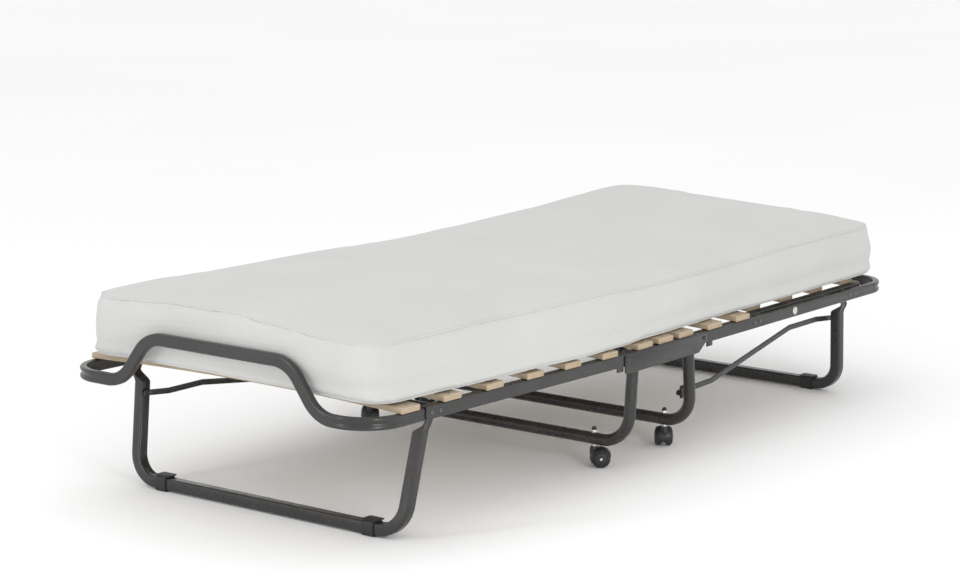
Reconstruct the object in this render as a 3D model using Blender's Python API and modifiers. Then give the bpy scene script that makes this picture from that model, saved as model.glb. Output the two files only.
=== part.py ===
"""Folding guest bed on castors: two slatted halves that fold up over a short centre frame.

Metres, +Z up. +X points to the head end, -X to the foot end, and -Y is the right-hand side seen from
the foot. The origin is on the floor under the middle of the bed. Each half is built in its own frame:
an empty on its hinge line whose +X points outward, so the foot half is the head half turned round.
"""

from math import cos, pi, radians, sin

import bmesh
import bpy
from mathutils import Matrix, Vector

# Whole bed
HALF_WIDTH = 0.400  # to the outer face of the side rails
HINGE_X = 0.143  # from the middle to each fold hinge
HINGE_Z = 0.244
SECTION_LENGTH = 0.812  # from a hinge to the outer face of its end tube
FOOT_TILT = 0.0147  # the foot half rises this much outward, in radians
HEAD_TILT = 0.0
GAP = 0.0003  # between pieces that touch
PIN_RADIUS = 0.0030
HOLE_RADIUS = 0.0033

# Side rails: inverted L with the web outside and the flange on top
RAIL_HEIGHT = 0.025
RAIL_FLANGE = 0.020
SHEET = 0.002
RAIL_START = -0.012  # a rail's inner end, past the hinge
FOOT_RAIL_END = 0.655
HEAD_RAIL_END = 0.245

# End tube
TUBE_HEIGHT = 0.0245
TUBE_DEPTH = 0.015
TUBE_START_FOOT = 0.585
TUBE_START_HEAD = 0.188
CORNER_RADIUS = 0.078
BOW_RISE = 0.096
BOW_FOOT_Y = 0.2515  # corners of the two risers, before they are rounded
BOW_TOP_Y = 0.1805
BOW_RADIUS = 0.072
BOW_SHIFT = {"foot": 0.013, "head": 0.0}  # the foot bow sits a little to the right

# Centre frame
PLATE_LENGTH = 0.304
PLATE_TOP = 0.0125  # above the hinge line
PLATE_BOTTOM = -0.0285
PLATE_SHEET = 0.0025
PLATE_FLANGE_END = 0.122
ROUND_TUBE = 0.0125  # radius
U_TOP_X = 0.100
U_FLOOR_X = 0.117
U_LEG_Y = 0.3870
U_CROSS_Z = 0.0612
U_BEND = 0.062

# Slats
SLAT_WIDTH = 0.054
SLAT_THICK = 0.012
SLAT_CROWN = 0.010
CENTRE_SLATS = (-0.0755, 0.0, 0.0755)
FOOT_SLATS = (0.059, 0.187, 0.313, 0.443, 0.575, 0.700)
HEAD_SLATS = (0.0445, 0.155)
HEADREST_SLATS = (0.267, 0.403, 0.533, 0.667)
HEADREST_SLAT_HALF = 0.357

# Folding legs
LEG_PIVOT = 0.6125  # outward from the hinge
LEG_TUBE = 0.0245
LEG_TOP_X = 0.0115  # tube centres, outward from the pivot
LEG_FLOOR_X = 0.0455
LEG_TOP_Y = 0.3600
LEG_FLOOR_Y = 0.3440
LEG_BEND = 0.058
TAB_Y = 0.3780
TAB_SHEET = 0.003
GLIDE_Y = 0.270
GLIDE_LENGTH = 0.028
GLIDE_WALL = 0.003

# Braces, from a bracket on the castor frame to the leg
BRACE_IN_X = -0.027
BRACE_IN_Z = -0.117
BRACE_OUT_X = 0.0165  # outward from the leg pivot
BRACE_OUT_Z = -0.066
BRACE_IN_Y = 0.3620
BRACE_OUT_Y = 0.3355
BRACE_WIDTH = 0.012
BRACE_SHEET = 0.004
BRACKET_SHEET = 0.003
BRACE_CRANKS = {  # along and above the line between a brace's pivots, and out from the bed's middle
    "foot": ((-0.010, 0.0, 0.362), (0.125, -0.012, 0.358), (0.505, 0.008, 0.3355), (0.603, -0.001, 0.3355)),
    "head": ((-0.010, 0.0, 0.362), (0.125, -0.008, 0.358), (0.485, 0.0205, 0.3355), (0.600, 0.012, 0.3355)),
}

# Headrest and its props
HEADREST_PIVOT = 0.203
HEADREST_START = 0.197
HEADREST_END = 0.722
HEADREST_OUTER = 0.375
HEADREST_FLANGE = 0.021
HEADREST_WEB = 0.010
PROP_PIVOT = 0.373
PROP_Y = 0.3792
PROP_SHEET = 0.003

# Castors
CASTOR_Y = {"foot": 0.302, "head": 0.320}
WHEEL_RADIUS = 0.0200
WHEEL_WIDTH = 0.0140
WHEEL_Y = 0.0118
CASTOR_TRAIL = 0.014
HOOD_TOP = 0.0452
REST_TURNS = {"foot_right": -52.5, "foot_left": 40.0, "head_right": 37.5, "head_left": 160.0}

# Mattress
MATTRESS_HALF = 0.370
MATTRESS_END = 0.785  # outward from each hinge
MATTRESS_THICK = 0.120
MATTRESS_JOIN = 0.045  # outward from each hinge
MATTRESS_HEADREST = 0.257  # where the raised part begins, outward from the hinge
MATTRESS_BASE = PLATE_TOP + SLAT_THICK + 3 * GAP
MATTRESS_CENTRE_LIFT = 0.0012  # clears the slats of the tilted foot half


# ---------------------------------------------------------------- scene, materials, objects


def clear_scene():
    for obj in list(bpy.data.objects):
        bpy.data.objects.remove(obj, do_unlink=True)


def collection(name):
    made = bpy.data.collections.new(name)
    bpy.context.scene.collection.children.link(made)
    return made


def material(name, colour, roughness, metallic):
    made = bpy.data.materials.new(name)
    made.use_nodes = True
    shader = made.node_tree.nodes["Principled BSDF"]
    shader.inputs["Base Color"].default_value = (*colour, 1.0)
    shader.inputs["Roughness"].default_value = roughness
    shader.inputs["Metallic"].default_value = metallic
    return made


clear_scene()
BED = collection("guest_bed")
CUTTERS = collection("cutters")
FRAME_PAINT = material("frame_paint", (0.075, 0.072, 0.072), 0.38, 0.55)
DARK_PAINT = material("dark_paint", (0.045, 0.043, 0.043), 0.42, 0.50)
BEECH = material("beech", (0.66, 0.50, 0.31), 0.50, 0.0)
ZINC = material("zinc", (0.72, 0.72, 0.70), 0.28, 1.0)
BLACK_PLASTIC = material("black_plastic", (0.020, 0.020, 0.021), 0.45, 0.0)
TICKING = material("ticking", (0.83, 0.84, 0.81), 0.85, 0.0)


def place(obj, mat, parent=None):
    """Puts a new object in the bed's collection with its material and parent."""
    for owner in obj.users_collection:
        owner.objects.unlink(obj)
    BED.objects.link(obj)
    obj.data.materials.clear()
    obj.data.materials.append(mat)
    obj.parent = parent
    return obj


def empty(name, location, rotation=(0.0, 0.0, 0.0), parent=None):
    made = bpy.data.objects.new(name, None)
    made.empty_display_size = 0.03
    BED.objects.link(made)
    made.location = location
    made.rotation_euler = rotation
    made.parent = parent
    return made


def guide(obj):
    """Keeps a cutter or a section outline out of the model."""
    for owner in obj.users_collection:
        owner.objects.unlink(obj)
    CUTTERS.objects.link(obj)
    obj.hide_render = True
    obj.display_type = "WIRE"
    return obj


def from_bmesh(name, bm):
    bmesh.ops.recalc_face_normals(bm, faces=bm.faces)
    if bm.calc_volume(signed=True) < 0:
        bmesh.ops.reverse_faces(bm, faces=bm.faces)
    mesh = bpy.data.meshes.new(name)
    bm.to_mesh(mesh)
    bm.free()
    return bpy.data.objects.new(name, mesh)


def smooth(obj, angle=35.0):
    """Shades a round piece smooth, with its real corners left sharp."""
    for step in obj.modifiers:
        if step.type == "SCREW":
            step.use_smooth_shade = True
            return obj
    obj.data.shade_smooth()
    obj.data.set_sharp_from_angle(angle=radians(angle))
    return obj


def boolean(obj, other, operation):
    """Cuts or joins obj with another shape made in the same parent's frame."""
    other.parent = obj.parent
    guide(other)
    step = obj.modifiers.new(operation.lower(), "BOOLEAN")
    step.operation = operation
    step.solver = "EXACT"
    step.object = other
    return obj


# ---------------------------------------------------------------- shapes


def ring_arc(centre, start, end, radius, steps):
    """Points of an arc in a plane, from angle start to angle end."""
    turns = [start + (end - start) * i / steps for i in range(steps + 1)]
    return [(centre[0] + radius * cos(t), centre[1] + radius * sin(t)) for t in turns]


def rounded_rectangle(width, height, radius, steps=1):
    """Outline of a rectangle about (0, 0), anticlockwise."""
    points = []
    corners = ((1, 1, 0.0), (-1, 1, 0.5 * pi), (-1, -1, pi), (1, -1, 1.5 * pi))
    for side_x, side_y, turn in corners:
        centre = (side_x * (width / 2 - radius), side_y * (height / 2 - radius))
        points += ring_arc(centre, turn, turn + 0.5 * pi, radius, steps)
    return points


def rectangle(width, height):
    x, y = width / 2, height / 2
    return [(x, y), (-x, y), (-x, -y), (x, -y)]


def moved(outline, x, y):
    return [(u + x, v + y) for u, v in outline]


def filleted(corners, radius, steps=4):
    """A polyline through the corners, with an arc at each inner corner."""
    corners = [Vector(c) for c in corners]
    points = [corners[0]]
    for before, corner, after in zip(corners, corners[1:], corners[2:]):
        back, ahead = (before - corner).normalized(), (after - corner).normalized()
        half = back.angle(ahead) / 2
        reach = radius * cos(half) / sin(half)
        centre = corner + (back + ahead).normalized() * (radius / sin(half))
        first, last = corner + back * reach - centre, corner + ahead * reach - centre
        sweep = first.angle(last)
        axis = first.cross(last)
        points += [centre + Matrix.Rotation(sweep * i / steps, 3, axis) @ first for i in range(steps + 1)]
    points.append(corners[-1])
    return points


def poly_curve(name, loops, dimensions, cyclic):
    data = bpy.data.curves.new(name, "CURVE")
    data.dimensions = dimensions
    for loop in loops:
        spline = data.splines.new("POLY")
        spline.points.add(len(loop) - 1)
        for point, place_at in zip(spline.points, loop):
            point.co = (*place_at, 0.0, 1.0) if len(place_at) == 2 else (*place_at, 1.0)
        spline.use_cyclic_u = cyclic
    return bpy.data.objects.new(name, data)


def to_mesh(curve, name, turn=None):
    """Turns a curve into a welded mesh object, laid the way turn says."""
    bpy.context.scene.collection.objects.link(curve)
    graph = bpy.context.evaluated_depsgraph_get()
    mesh = bpy.data.meshes.new_from_object(curve.evaluated_get(graph))
    bpy.data.objects.remove(curve, do_unlink=True)
    bm = bmesh.new()
    bm.from_mesh(mesh)
    bpy.data.meshes.remove(mesh)
    bmesh.ops.remove_doubles(bm, verts=bm.verts, dist=0.00002)
    if turn:
        bm.transform(turn)
    return from_bmesh(name, bm)


def tube(name, path, radius, resolution=3):
    """Round tube along a path."""
    curve = poly_curve(name, [path], "3D", False)
    curve.data.bevel_depth = radius
    curve.data.bevel_resolution = resolution
    curve.data.use_fill_caps = True
    return to_mesh(curve, name)


def swept(name, path, section, twist="Z_UP"):
    """A section carried along a path. Its first axis points across the path and its second up."""
    profile = poly_curve("section", [section], "2D", True)
    curve = poly_curve(name, [path], "3D", False)
    curve.data.bevel_mode = "OBJECT"
    curve.data.bevel_object = profile
    curve.data.use_fill_caps = True
    curve.data.twist_mode = twist
    made = to_mesh(curve, name)
    bpy.data.objects.remove(profile, do_unlink=True)
    return made


LAY = {
    "x": Matrix(((0, 0, 1, 0), (1, 0, 0, 0), (0, 1, 0, 0), (0, 0, 0, 1))),
    "y": Matrix(((1, 0, 0, 0), (0, 0, -1, 0), (0, 1, 0, 0), (0, 0, 0, 1))),
    "z": Matrix.Identity(4),
}


def extruded(name, outlines, low, high, axis="y"):
    """Flat outlines stretched along an axis. Across x they are (y, z), and across y they are (x, z)."""
    curve = poly_curve(name, outlines, "2D", True)
    curve.data.fill_mode = "BOTH"
    curve.data.extrude = abs(high - low) / 2
    shift = Vector([(low + high) / 2 if axis == letter else 0.0 for letter in "xyz"])
    return to_mesh(curve, name, Matrix.Translation(shift) @ LAY[axis])


def cylinder(name, centre, radius, length, axis="y", sides=10):
    lay = {"y": Matrix.Rotation(pi / 2, 4, "X"), "z": Matrix.Identity(4)}[axis]
    bm = bmesh.new()
    place_at = Matrix.Translation(centre) @ lay
    size = {"segments": sides, "radius1": radius, "radius2": radius, "depth": length}
    bmesh.ops.create_cone(bm, cap_ends=True, matrix=place_at, **size)
    return from_bmesh(name, bm)


def turned(name, profile, centre, axis, sides=10):
    """A turned body. The profile is (radius, distance along the axis), with zero radius at both ends."""
    bm = bmesh.new()
    verts = [bm.verts.new((radius, 0.0, along)) for radius, along in reversed(profile)]
    for upper, lower in zip(verts, verts[1:]):
        bm.edges.new((upper, lower))
    mesh = bpy.data.meshes.new(name)
    bm.to_mesh(mesh)
    bm.free()
    made = bpy.data.objects.new(name, mesh)
    step = made.modifiers.new("turn", "SCREW")
    step.axis = "Z"
    step.steps = step.render_steps = sides
    step.use_merge_vertices = True
    step.merge_threshold = 0.0001
    made.rotation_euler = Vector(axis).to_track_quat("Z", "Y").to_euler()
    made.location = centre
    return made


def loft(name, rings):
    """A closed body through rings of equally many points, for sections that change along it."""
    bm = bmesh.new()
    loops = [[bm.verts.new(p) for p in ring] for ring in rings]
    for low, high in zip(loops, loops[1:]):
        for i, _ in enumerate(low):
            j = (i + 1) % len(low)
            bm.faces.new((low[i], low[j], high[j], high[i]))
    bm.faces.new(loops[0])
    bm.faces.new(list(reversed(loops[-1])))
    return from_bmesh(name, bm)


def side_name(world_side):
    return "left" if world_side > 0 else "right"


def headed_pin(name, inner, outer, x, z, side, head=0.0045):
    """A pin through side members, with a domed head outside and a flat head inside."""
    length = outer - inner
    profile = [(0.0, -0.0015), (head, -0.0015), (head, -GAP), (PIN_RADIUS, -GAP)]
    profile += stud_end(length, head)
    return turned(name, profile, (x, side * inner, z), (0, side, 0))


def stud(inner, outer, x, z, side, head=0.0045):
    """A headed stud that starts inside the member it is fixed to."""
    profile = [(0.0, 0.0), (PIN_RADIUS, 0.0)] + stud_end(outer - inner, head)
    return turned("stud", profile, (x, side * inner, z), (0, side, 0))


def stud_end(length, head):
    return [(PIN_RADIUS, length + GAP), (head, length + GAP), (0.0, length + 0.0026)]


# ---------------------------------------------------------------- centre frame


def build_side_plate(side):
    """Folded side plate: a web with one chamfered corner, and a top flange that carries the slats."""
    half, low, high = PLATE_LENGTH / 2, HINGE_Z + PLATE_BOTTOM, HINGE_Z + PLATE_TOP
    cut_x, cut_z = 0.031, 0.022
    small = 0.006
    outline = [(-half, low + small), (-half + small, low), (half - cut_x, low), (half, low + cut_z)]
    outline += [(half, high - small), (half - small, high), (-half + small, high), (-half, high - small)]
    if side > 0:
        outline = [(-x, z) for x, z in reversed(outline)]
    inner = HALF_WIDTH + GAP
    plate = extruded(f"side_plate_{side_name(side)}", [outline], side * inner, side * (inner + PLATE_SHEET))
    width = RAIL_FLANGE + GAP + 0.001
    section = moved(rectangle(width, SHEET), side * (HALF_WIDTH - RAIL_FLANGE + width / 2), high - SHEET / 2)
    flange = extruded("plate_flange", [section], -PLATE_FLANGE_END, PLATE_FLANGE_END, "x")
    place(plate, FRAME_PAINT)
    boolean(plate, flange, "UNION")
    for x in (-HINGE_X, HINGE_X):
        boolean(plate, cylinder("plate_hole", (x, side * inner, HINGE_Z), HOLE_RADIUS, 0.02), "DIFFERENCE")
    return plate


def build_castor_frame(name, way):
    """Round tube bent to a U, with a bracket for the brace of this half welded inside one leg."""
    high = HINGE_Z + PLATE_TOP - SHEET - 5 * GAP
    corners = [
        (way * U_TOP_X, -U_LEG_Y, high),
        (way * U_FLOOR_X, -U_LEG_Y, U_CROSS_Z),
        (way * U_FLOOR_X, U_LEG_Y, U_CROSS_Z),
        (way * U_TOP_X, U_LEG_Y, high),
    ]
    frame = tube(name, filleted(corners, U_BEND, 5), ROUND_TUBE)
    place(smooth(frame), FRAME_PAINT)
    side = -way
    x, z = way * (HINGE_X + BRACE_IN_X), HINGE_Z + BRACE_IN_Z
    low = BRACE_IN_Y + BRACE_SHEET / 2 + GAP
    high = low + BRACKET_SHEET
    plate = moved(rounded_rectangle(0.018, 0.028, 0.004), x, z)
    bracket = extruded("bracket", [plate], side * low, side * high)
    ledge = moved(rectangle(0.016, BRACKET_SHEET), x, z + 0.0120)
    web = extruded("bracket_ledge", [ledge], side * (low + 0.001), side * U_LEG_Y)
    boolean(frame, web, "UNION")
    boolean(frame, bracket, "UNION")
    boolean(frame, cylinder("stud_hole", (x, side * low, z), HOLE_RADIUS, 0.012), "DIFFERENCE")
    castor_y = CASTOR_Y["foot" if way < 0 else "head"]
    for y in (-castor_y, castor_y):
        drill = cylinder("stem_hole", (way * U_FLOOR_X, y, U_CROSS_Z), 0.0045, 0.04, "z")
        boolean(frame, drill, "DIFFERENCE")
    return frame


def slat(name, x, base, half_length, parent):
    """A sprung slat, bowed upward, lying across the bed."""
    steps = 6
    path = []
    for i in range(steps + 1):
        y = half_length * (2 * i / steps - 1)
        path.append((x, y, base + SLAT_THICK / 2 + SLAT_CROWN * (1 - (y / half_length) ** 2)))
    body = swept(name, path, rounded_rectangle(SLAT_WIDTH, SLAT_THICK, 0.0022))
    return place(body, BEECH, parent)


def build_castor(corner, way, side):
    """A twin-wheel castor: the hood swivels on the stem, and the wheels turn on the axle."""
    turn = radians(REST_TURNS[corner])
    at = (way * U_FLOOR_X, side * CASTOR_Y[corner.split("_")[0]], 0)
    swivel = empty(f"castor_{corner}_swivel", at, (0, 0, turn))
    spin = empty(f"castor_{corner}_spin", (CASTOR_TRAIL, 0, WHEEL_RADIUS), parent=swivel)
    inner, outer = WHEEL_RADIUS + 0.0008, WHEEL_RADIUS + 0.0028
    arch = ring_arc((CASTOR_TRAIL, WHEEL_RADIUS), radians(25), radians(205), outer, 8)
    arch += ring_arc((CASTOR_TRAIL, WHEEL_RADIUS), radians(205), radians(25), inner, 8)
    hood = extruded(f"castor_{corner}_hood", [arch], -0.0195, 0.0195)
    place(smooth(hood), BLACK_PLASTIC, swivel)
    web = ring_arc((CASTOR_TRAIL, WHEEL_RADIUS), radians(25), radians(205), inner + 0.001, 8)
    web += ring_arc((CASTOR_TRAIL, WHEEL_RADIUS), radians(215), radians(375), 0.009, 4)
    boolean(hood, extruded("hood_web", [web], -0.0040, 0.0040), "UNION")
    boolean(hood, cylinder("hood_boss", (0, 0, HOOD_TOP - 0.012), 0.0075, 0.024, "z", 12), "UNION")
    for way_out in (-1, 1):
        room = cylinder("wheel_room", (CASTOR_TRAIL, way_out * 0.0142, WHEEL_RADIUS), inner, 0.02, sides=16)
        boolean(hood, room, "DIFFERENCE")
    boolean(hood, cylinder("axle_hole", (CASTOR_TRAIL, 0, WHEEL_RADIUS), 0.0029, 0.02), "DIFFERENCE")
    pair = turned(f"castor_{corner}_wheels", wheel_profile(), (0, 0, 0), (0, 1, 0), 16)
    place(smooth(pair), BLACK_PLASTIC, spin)
    return swivel


def wheel_profile():
    """Two wheels and the axle between them, from one end of the axle to the other."""
    inner, outer = WHEEL_Y - WHEEL_WIDTH / 2, WHEEL_Y + WHEEL_WIDTH / 2
    half = [(0.0025, inner), (WHEEL_RADIUS, inner), (WHEEL_RADIUS, outer), (0.0050, outer)]
    half.append((0.0, outer + 0.0012))
    return [(radius, -along) for radius, along in reversed(half)] + half


def build_stems():
    """Threaded castor stems through the frames, each with its nut."""
    nut = U_CROSS_Z + ROUND_TUBE + 3 * GAP
    for way, end in ((-1, "foot"), (1, "head")):
        for side in (-1, 1):
            profile = [(0.0, HOOD_TOP + GAP), (0.0040, HOOD_TOP + GAP), (0.0040, nut), (0.0068, nut)]
            profile += [(0.0068, nut + 0.0060), (0.0, nut + 0.0130)]
            name = f"castor_{end}_{side_name(side)}_stem"
            stem = turned(name, profile, (way * U_FLOOR_X, side * CASTOR_Y[end], 0), (0, 0, 1))
            place(smooth(stem), ZINC)


def build_centre():
    for side in (-1, 1):
        build_side_plate(side)
    build_castor_frame("castor_frame_foot", -1)
    build_castor_frame("castor_frame_head", 1)
    for number, x in enumerate(CENTRE_SLATS, 1):
        slat(f"centre_slat_{number}", x, HINGE_Z + PLATE_TOP + GAP, HALF_WIDTH, None)
    build_stems()
    for way, end in ((-1, "foot"), (1, "head")):
        for side in (-1, 1):
            build_castor(f"{end}_{side_name(side)}", way, side)
    for way, end in ((-1, "foot"), (1, "head")):
        for side in (-1, 1):
            name = f"{end}_hinge_pin_{side_name(side)}"
            outer = HALF_WIDTH + GAP + PLATE_SHEET
            pin = headed_pin(name, HALF_WIDTH - SHEET, outer, way * HINGE_X, HINGE_Z, side)
            place(smooth(pin), DARK_PAINT)


# ---------------------------------------------------------------- the two halves


def build_rail(name, local_side, end, half):
    """Inverted-L side rail, with the stop tab under its inner end."""
    web, flange = HALF_WIDTH, HALF_WIDTH - RAIL_FLANGE
    low, high = -RAIL_HEIGHT / 2, RAIL_HEIGHT / 2
    outline = [(flange, high), (flange, high - SHEET), (web - SHEET, high - SHEET)]
    outline += [(web - SHEET, low), (web, low), (web, high)]
    if local_side < 0:
        outline = [(-y, z) for y, z in reversed(outline)]
    rail = extruded(name, [outline], RAIL_START, end, "x")
    return place(rail, FRAME_PAINT, half)


def tube_path(start, drop, shift):
    """Centre line of the end tube: one side, the corner, the bow over the end, and back.

    The bow is moved sideways by shift.
    """
    y = HALF_WIDTH - SHEET - 2 * GAP - TUBE_DEPTH / 2
    end = SECTION_LENGTH - TUBE_DEPTH / 2
    corners = [(start, -y, drop), (end, -y, drop), (end, 0, drop)]
    arc = filleted(corners, CORNER_RADIUS, 6)[:-1]
    low, top = Vector((end, -BOW_FOOT_Y, drop)), Vector((end, -BOW_TOP_Y, drop + BOW_RISE))
    ends = ((end, -y + CORNER_RADIUS + 0.002, drop), (end, 0, drop + BOW_RISE))
    rise = filleted([ends[0], low, top, ends[1]], BOW_RADIUS, 3)[1:-1]
    sideways = Vector((0, shift, 0))
    low_side = arc + [p + sideways for p in rise]
    high_side = [Vector((p.x, -p.y, p.z)) for p in arc + [p - sideways for p in rise]]
    return low_side + high_side[::-1]


def build_end_tube(end, start, half):
    drop = RAIL_HEIGHT / 2 - SHEET - GAP - TUBE_HEIGHT / 2
    section = rounded_rectangle(TUBE_DEPTH, TUBE_HEIGHT, 0.0035)
    path = tube_path(start, drop, BOW_SHIFT[end])
    return place(smooth(swept(f"{end}_end_tube", path, section)), FRAME_PAINT, half)


def leg_rings(drop):
    """Rings of the leg from the flattened tab at its pivot to the middle of the floor tube.

    Positions are outward from the pivot, across the bed, and up from the pivot.
    """
    flat_top = RAIL_HEIGHT / 2 - SHEET - 3 * GAP
    tube_top = 0.048
    floor = -drop + GLIDE_WALL + LEG_TUBE / 2
    square = rounded_rectangle(LEG_TUBE, LEG_TUBE, 0.0045)
    flat = [(x, y * TAB_SHEET / LEG_TUBE) for x, y in square]
    rings = []
    tab = ((flat_top, 0.40, 0.0), (flat_top - 0.004, 0.80, 0.0), (0.0, 1.0, 0.0), (-0.009, 1.0, 0.0))
    for height, scale, shift in tab + ((-0.027, 1.0, LEG_TOP_X),):
        rings.append([Vector((x * scale + shift, -TAB_Y + y, height)) for x, y in flat])
    corners = [
        Vector((LEG_TOP_X, -LEG_TOP_Y, -tube_top)),
        Vector((LEG_FLOOR_X, -LEG_FLOOR_Y, floor)),
        Vector((LEG_FLOOR_X, 0.0, floor)),
    ]
    path = filleted(corners, LEG_BEND, 5)
    out = Vector((1, 0, 0))
    for i, point in enumerate(path):
        before = (point - path[i - 1]).normalized() if i else Vector()
        after = (path[i + 1] - point).normalized() if i + 1 < len(path) else Vector()
        along = (before + after).normalized()
        across = along.cross(out).normalized()
        face = across.cross(along)
        rings.append([point + face * x - across * y for x, y in square])
    return rings


def build_leg(name, drop, pivot):
    """Square-tube U leg whose two ends are pressed flat where they pivot on the rails."""
    one_side = leg_rings(drop)
    mirrored = [[Vector((p.x, -p.y, p.z)) for p in ring] for ring in reversed(one_side[:-1])]
    leg = loft(name, one_side + mirrored)
    place(smooth(leg), FRAME_PAINT, pivot)
    for side in (-1, 1):
        boolean(leg, cylinder("tab_hole", (0, side * TAB_Y, 0), HOLE_RADIUS, 0.02), "DIFFERENCE")
    return leg


def build_glides(end, way, drop, pivot):
    """Plastic floor clips round the leg's floor tube."""
    floor = -drop + GLIDE_WALL + LEG_TUBE / 2
    inner, outer = LEG_TUBE + 2 * GAP, LEG_TUBE + 2 * GLIDE_WALL
    for side in (-1, 1):
        low, high = side * GLIDE_Y - GLIDE_LENGTH / 2, side * GLIDE_Y + GLIDE_LENGTH / 2
        outline = moved(rounded_rectangle(outer, outer, 0.005), LEG_FLOOR_X, floor)
        hole = moved(rounded_rectangle(inner, inner, 0.0047), LEG_FLOOR_X, floor)
        glide = extruded(f"{end}_glide_{side_name(side * way)}", [outline, hole], low, high)
        place(smooth(glide), BLACK_PLASTIC, pivot)


def build_brace(name, way, tilt):
    """Cranked flat bar from the castor frame's bracket to the leg's inner face."""
    start = Vector((0.0, 0.0))
    pivot = Vector((LEG_PIVOT * cos(tilt), LEG_PIVOT * sin(tilt)))
    end = pivot + Vector((BRACE_OUT_X, BRACE_OUT_Z)) - Vector((BRACE_IN_X, BRACE_IN_Z))
    chord = end.normalized()
    lift = Vector((-chord.y, chord.x))
    path = []
    for along, height, y in BRACE_CRANKS["head" if way > 0 else "foot"]:
        point = start + chord * along + lift * height
        path.append((point.x, -y, point.y))
    point = end + chord * 0.010
    path.append((point.x, -BRACE_OUT_Y, point.y))
    root = empty(
        f"{name}_pivot",
        (way * (HINGE_X + BRACE_IN_X), 0, HINGE_Z + BRACE_IN_Z),
        (0, 0, 0 if way > 0 else pi),
    )
    bar = swept(name, filleted(path, 0.030, 3), rectangle(BRACE_SHEET, BRACE_WIDTH))
    place(smooth(bar), FRAME_PAINT, root)
    reach = BRACE_IN_Y + BRACE_SHEET / 2 + GAP + BRACKET_SHEET
    return boolean(bar, stud(BRACE_IN_Y, reach, 0.0, 0.0, -1), "UNION")


def build_mattress(name, start, end, parent, base=MATTRESS_BASE):
    """Plain block of the foam mattress, arched with the slats under it."""
    steps = 6
    across = [MATTRESS_HALF * (2 * i / steps - 1) for i in range(steps + 1)]
    arch = [(y, base + SLAT_CROWN * (1 - (y / HALF_WIDTH) ** 2)) for y in across]
    outline = arch + [(y, z + MATTRESS_THICK) for y, z in reversed(arch)]
    return place(extruded(name, [outline], start, end, "x"), TICKING, parent)


def build_half(end, way, tilt):
    turn = Matrix.Rotation(0 if way > 0 else pi, 4, "Z") @ Matrix.Rotation(-tilt, 4, "Y")
    half = empty(f"{end}_fold", (way * HINGE_X, 0, HINGE_Z), turn.to_euler())
    rail_end, tube_start = (FOOT_RAIL_END, TUBE_START_FOOT) if way < 0 else (HEAD_RAIL_END, TUBE_START_HEAD)
    tube = build_end_tube(end, tube_start, half)
    rails = {}
    for local in (-1, 1):
        world = local * way
        rail = build_rail(f"{end}_rail_{side_name(world)}", local, rail_end, half)
        boolean(rail, cylinder("rail_hole", (0, local * HALF_WIDTH, 0), HOLE_RADIUS, 0.02), "DIFFERENCE")
        rails[local] = rail
    pivots = (LEG_PIVOT,) if way < 0 else (LEG_PIVOT, HEADREST_PIVOT, PROP_PIVOT)
    for x in pivots:
        for local in (-1, 1):
            boolean(tube, cylinder("pin_hole", (x, local * HALF_WIDTH, 0), HOLE_RADIUS, 0.06), "DIFFERENCE")
            if x < rail_end:
                hole = cylinder("pin_hole", (x, local * HALF_WIDTH, 0), HOLE_RADIUS, 0.06)
                boolean(rails[local], hole, "DIFFERENCE")
    outer = HALF_WIDTH if LEG_PIVOT < rail_end else HALF_WIDTH - SHEET - 2 * GAP
    for local in (-1, 1):
        name = f"{end}_leg_pin_{side_name(local * way)}"
        pin = headed_pin(name, TAB_Y - TAB_SHEET / 2, outer, LEG_PIVOT, 0.0, local)
        place(smooth(pin), DARK_PAINT, half)

    pivot_world = HINGE_Z + LEG_PIVOT * sin(tilt)
    leg_pivot = empty(f"{end}_leg_pivot", (LEG_PIVOT, 0, 0), (0, tilt, 0), half)
    build_leg(f"{end}_leg", pivot_world, leg_pivot)
    build_glides(end, way, pivot_world, leg_pivot)
    build_brace(f"{end}_brace", way, tilt)
    return half


def build_foot():
    half = build_half("foot", -1, FOOT_TILT)
    top = RAIL_HEIGHT / 2 + GAP
    for number, x in enumerate(FOOT_SLATS, 1):
        base = top if x < FOOT_RAIL_END else top - SHEET - GAP
        slat(f"foot_slat_{number}", x, base, HALF_WIDTH, half)
    build_mattress("mattress_foot", MATTRESS_JOIN, MATTRESS_END, half)


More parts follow.
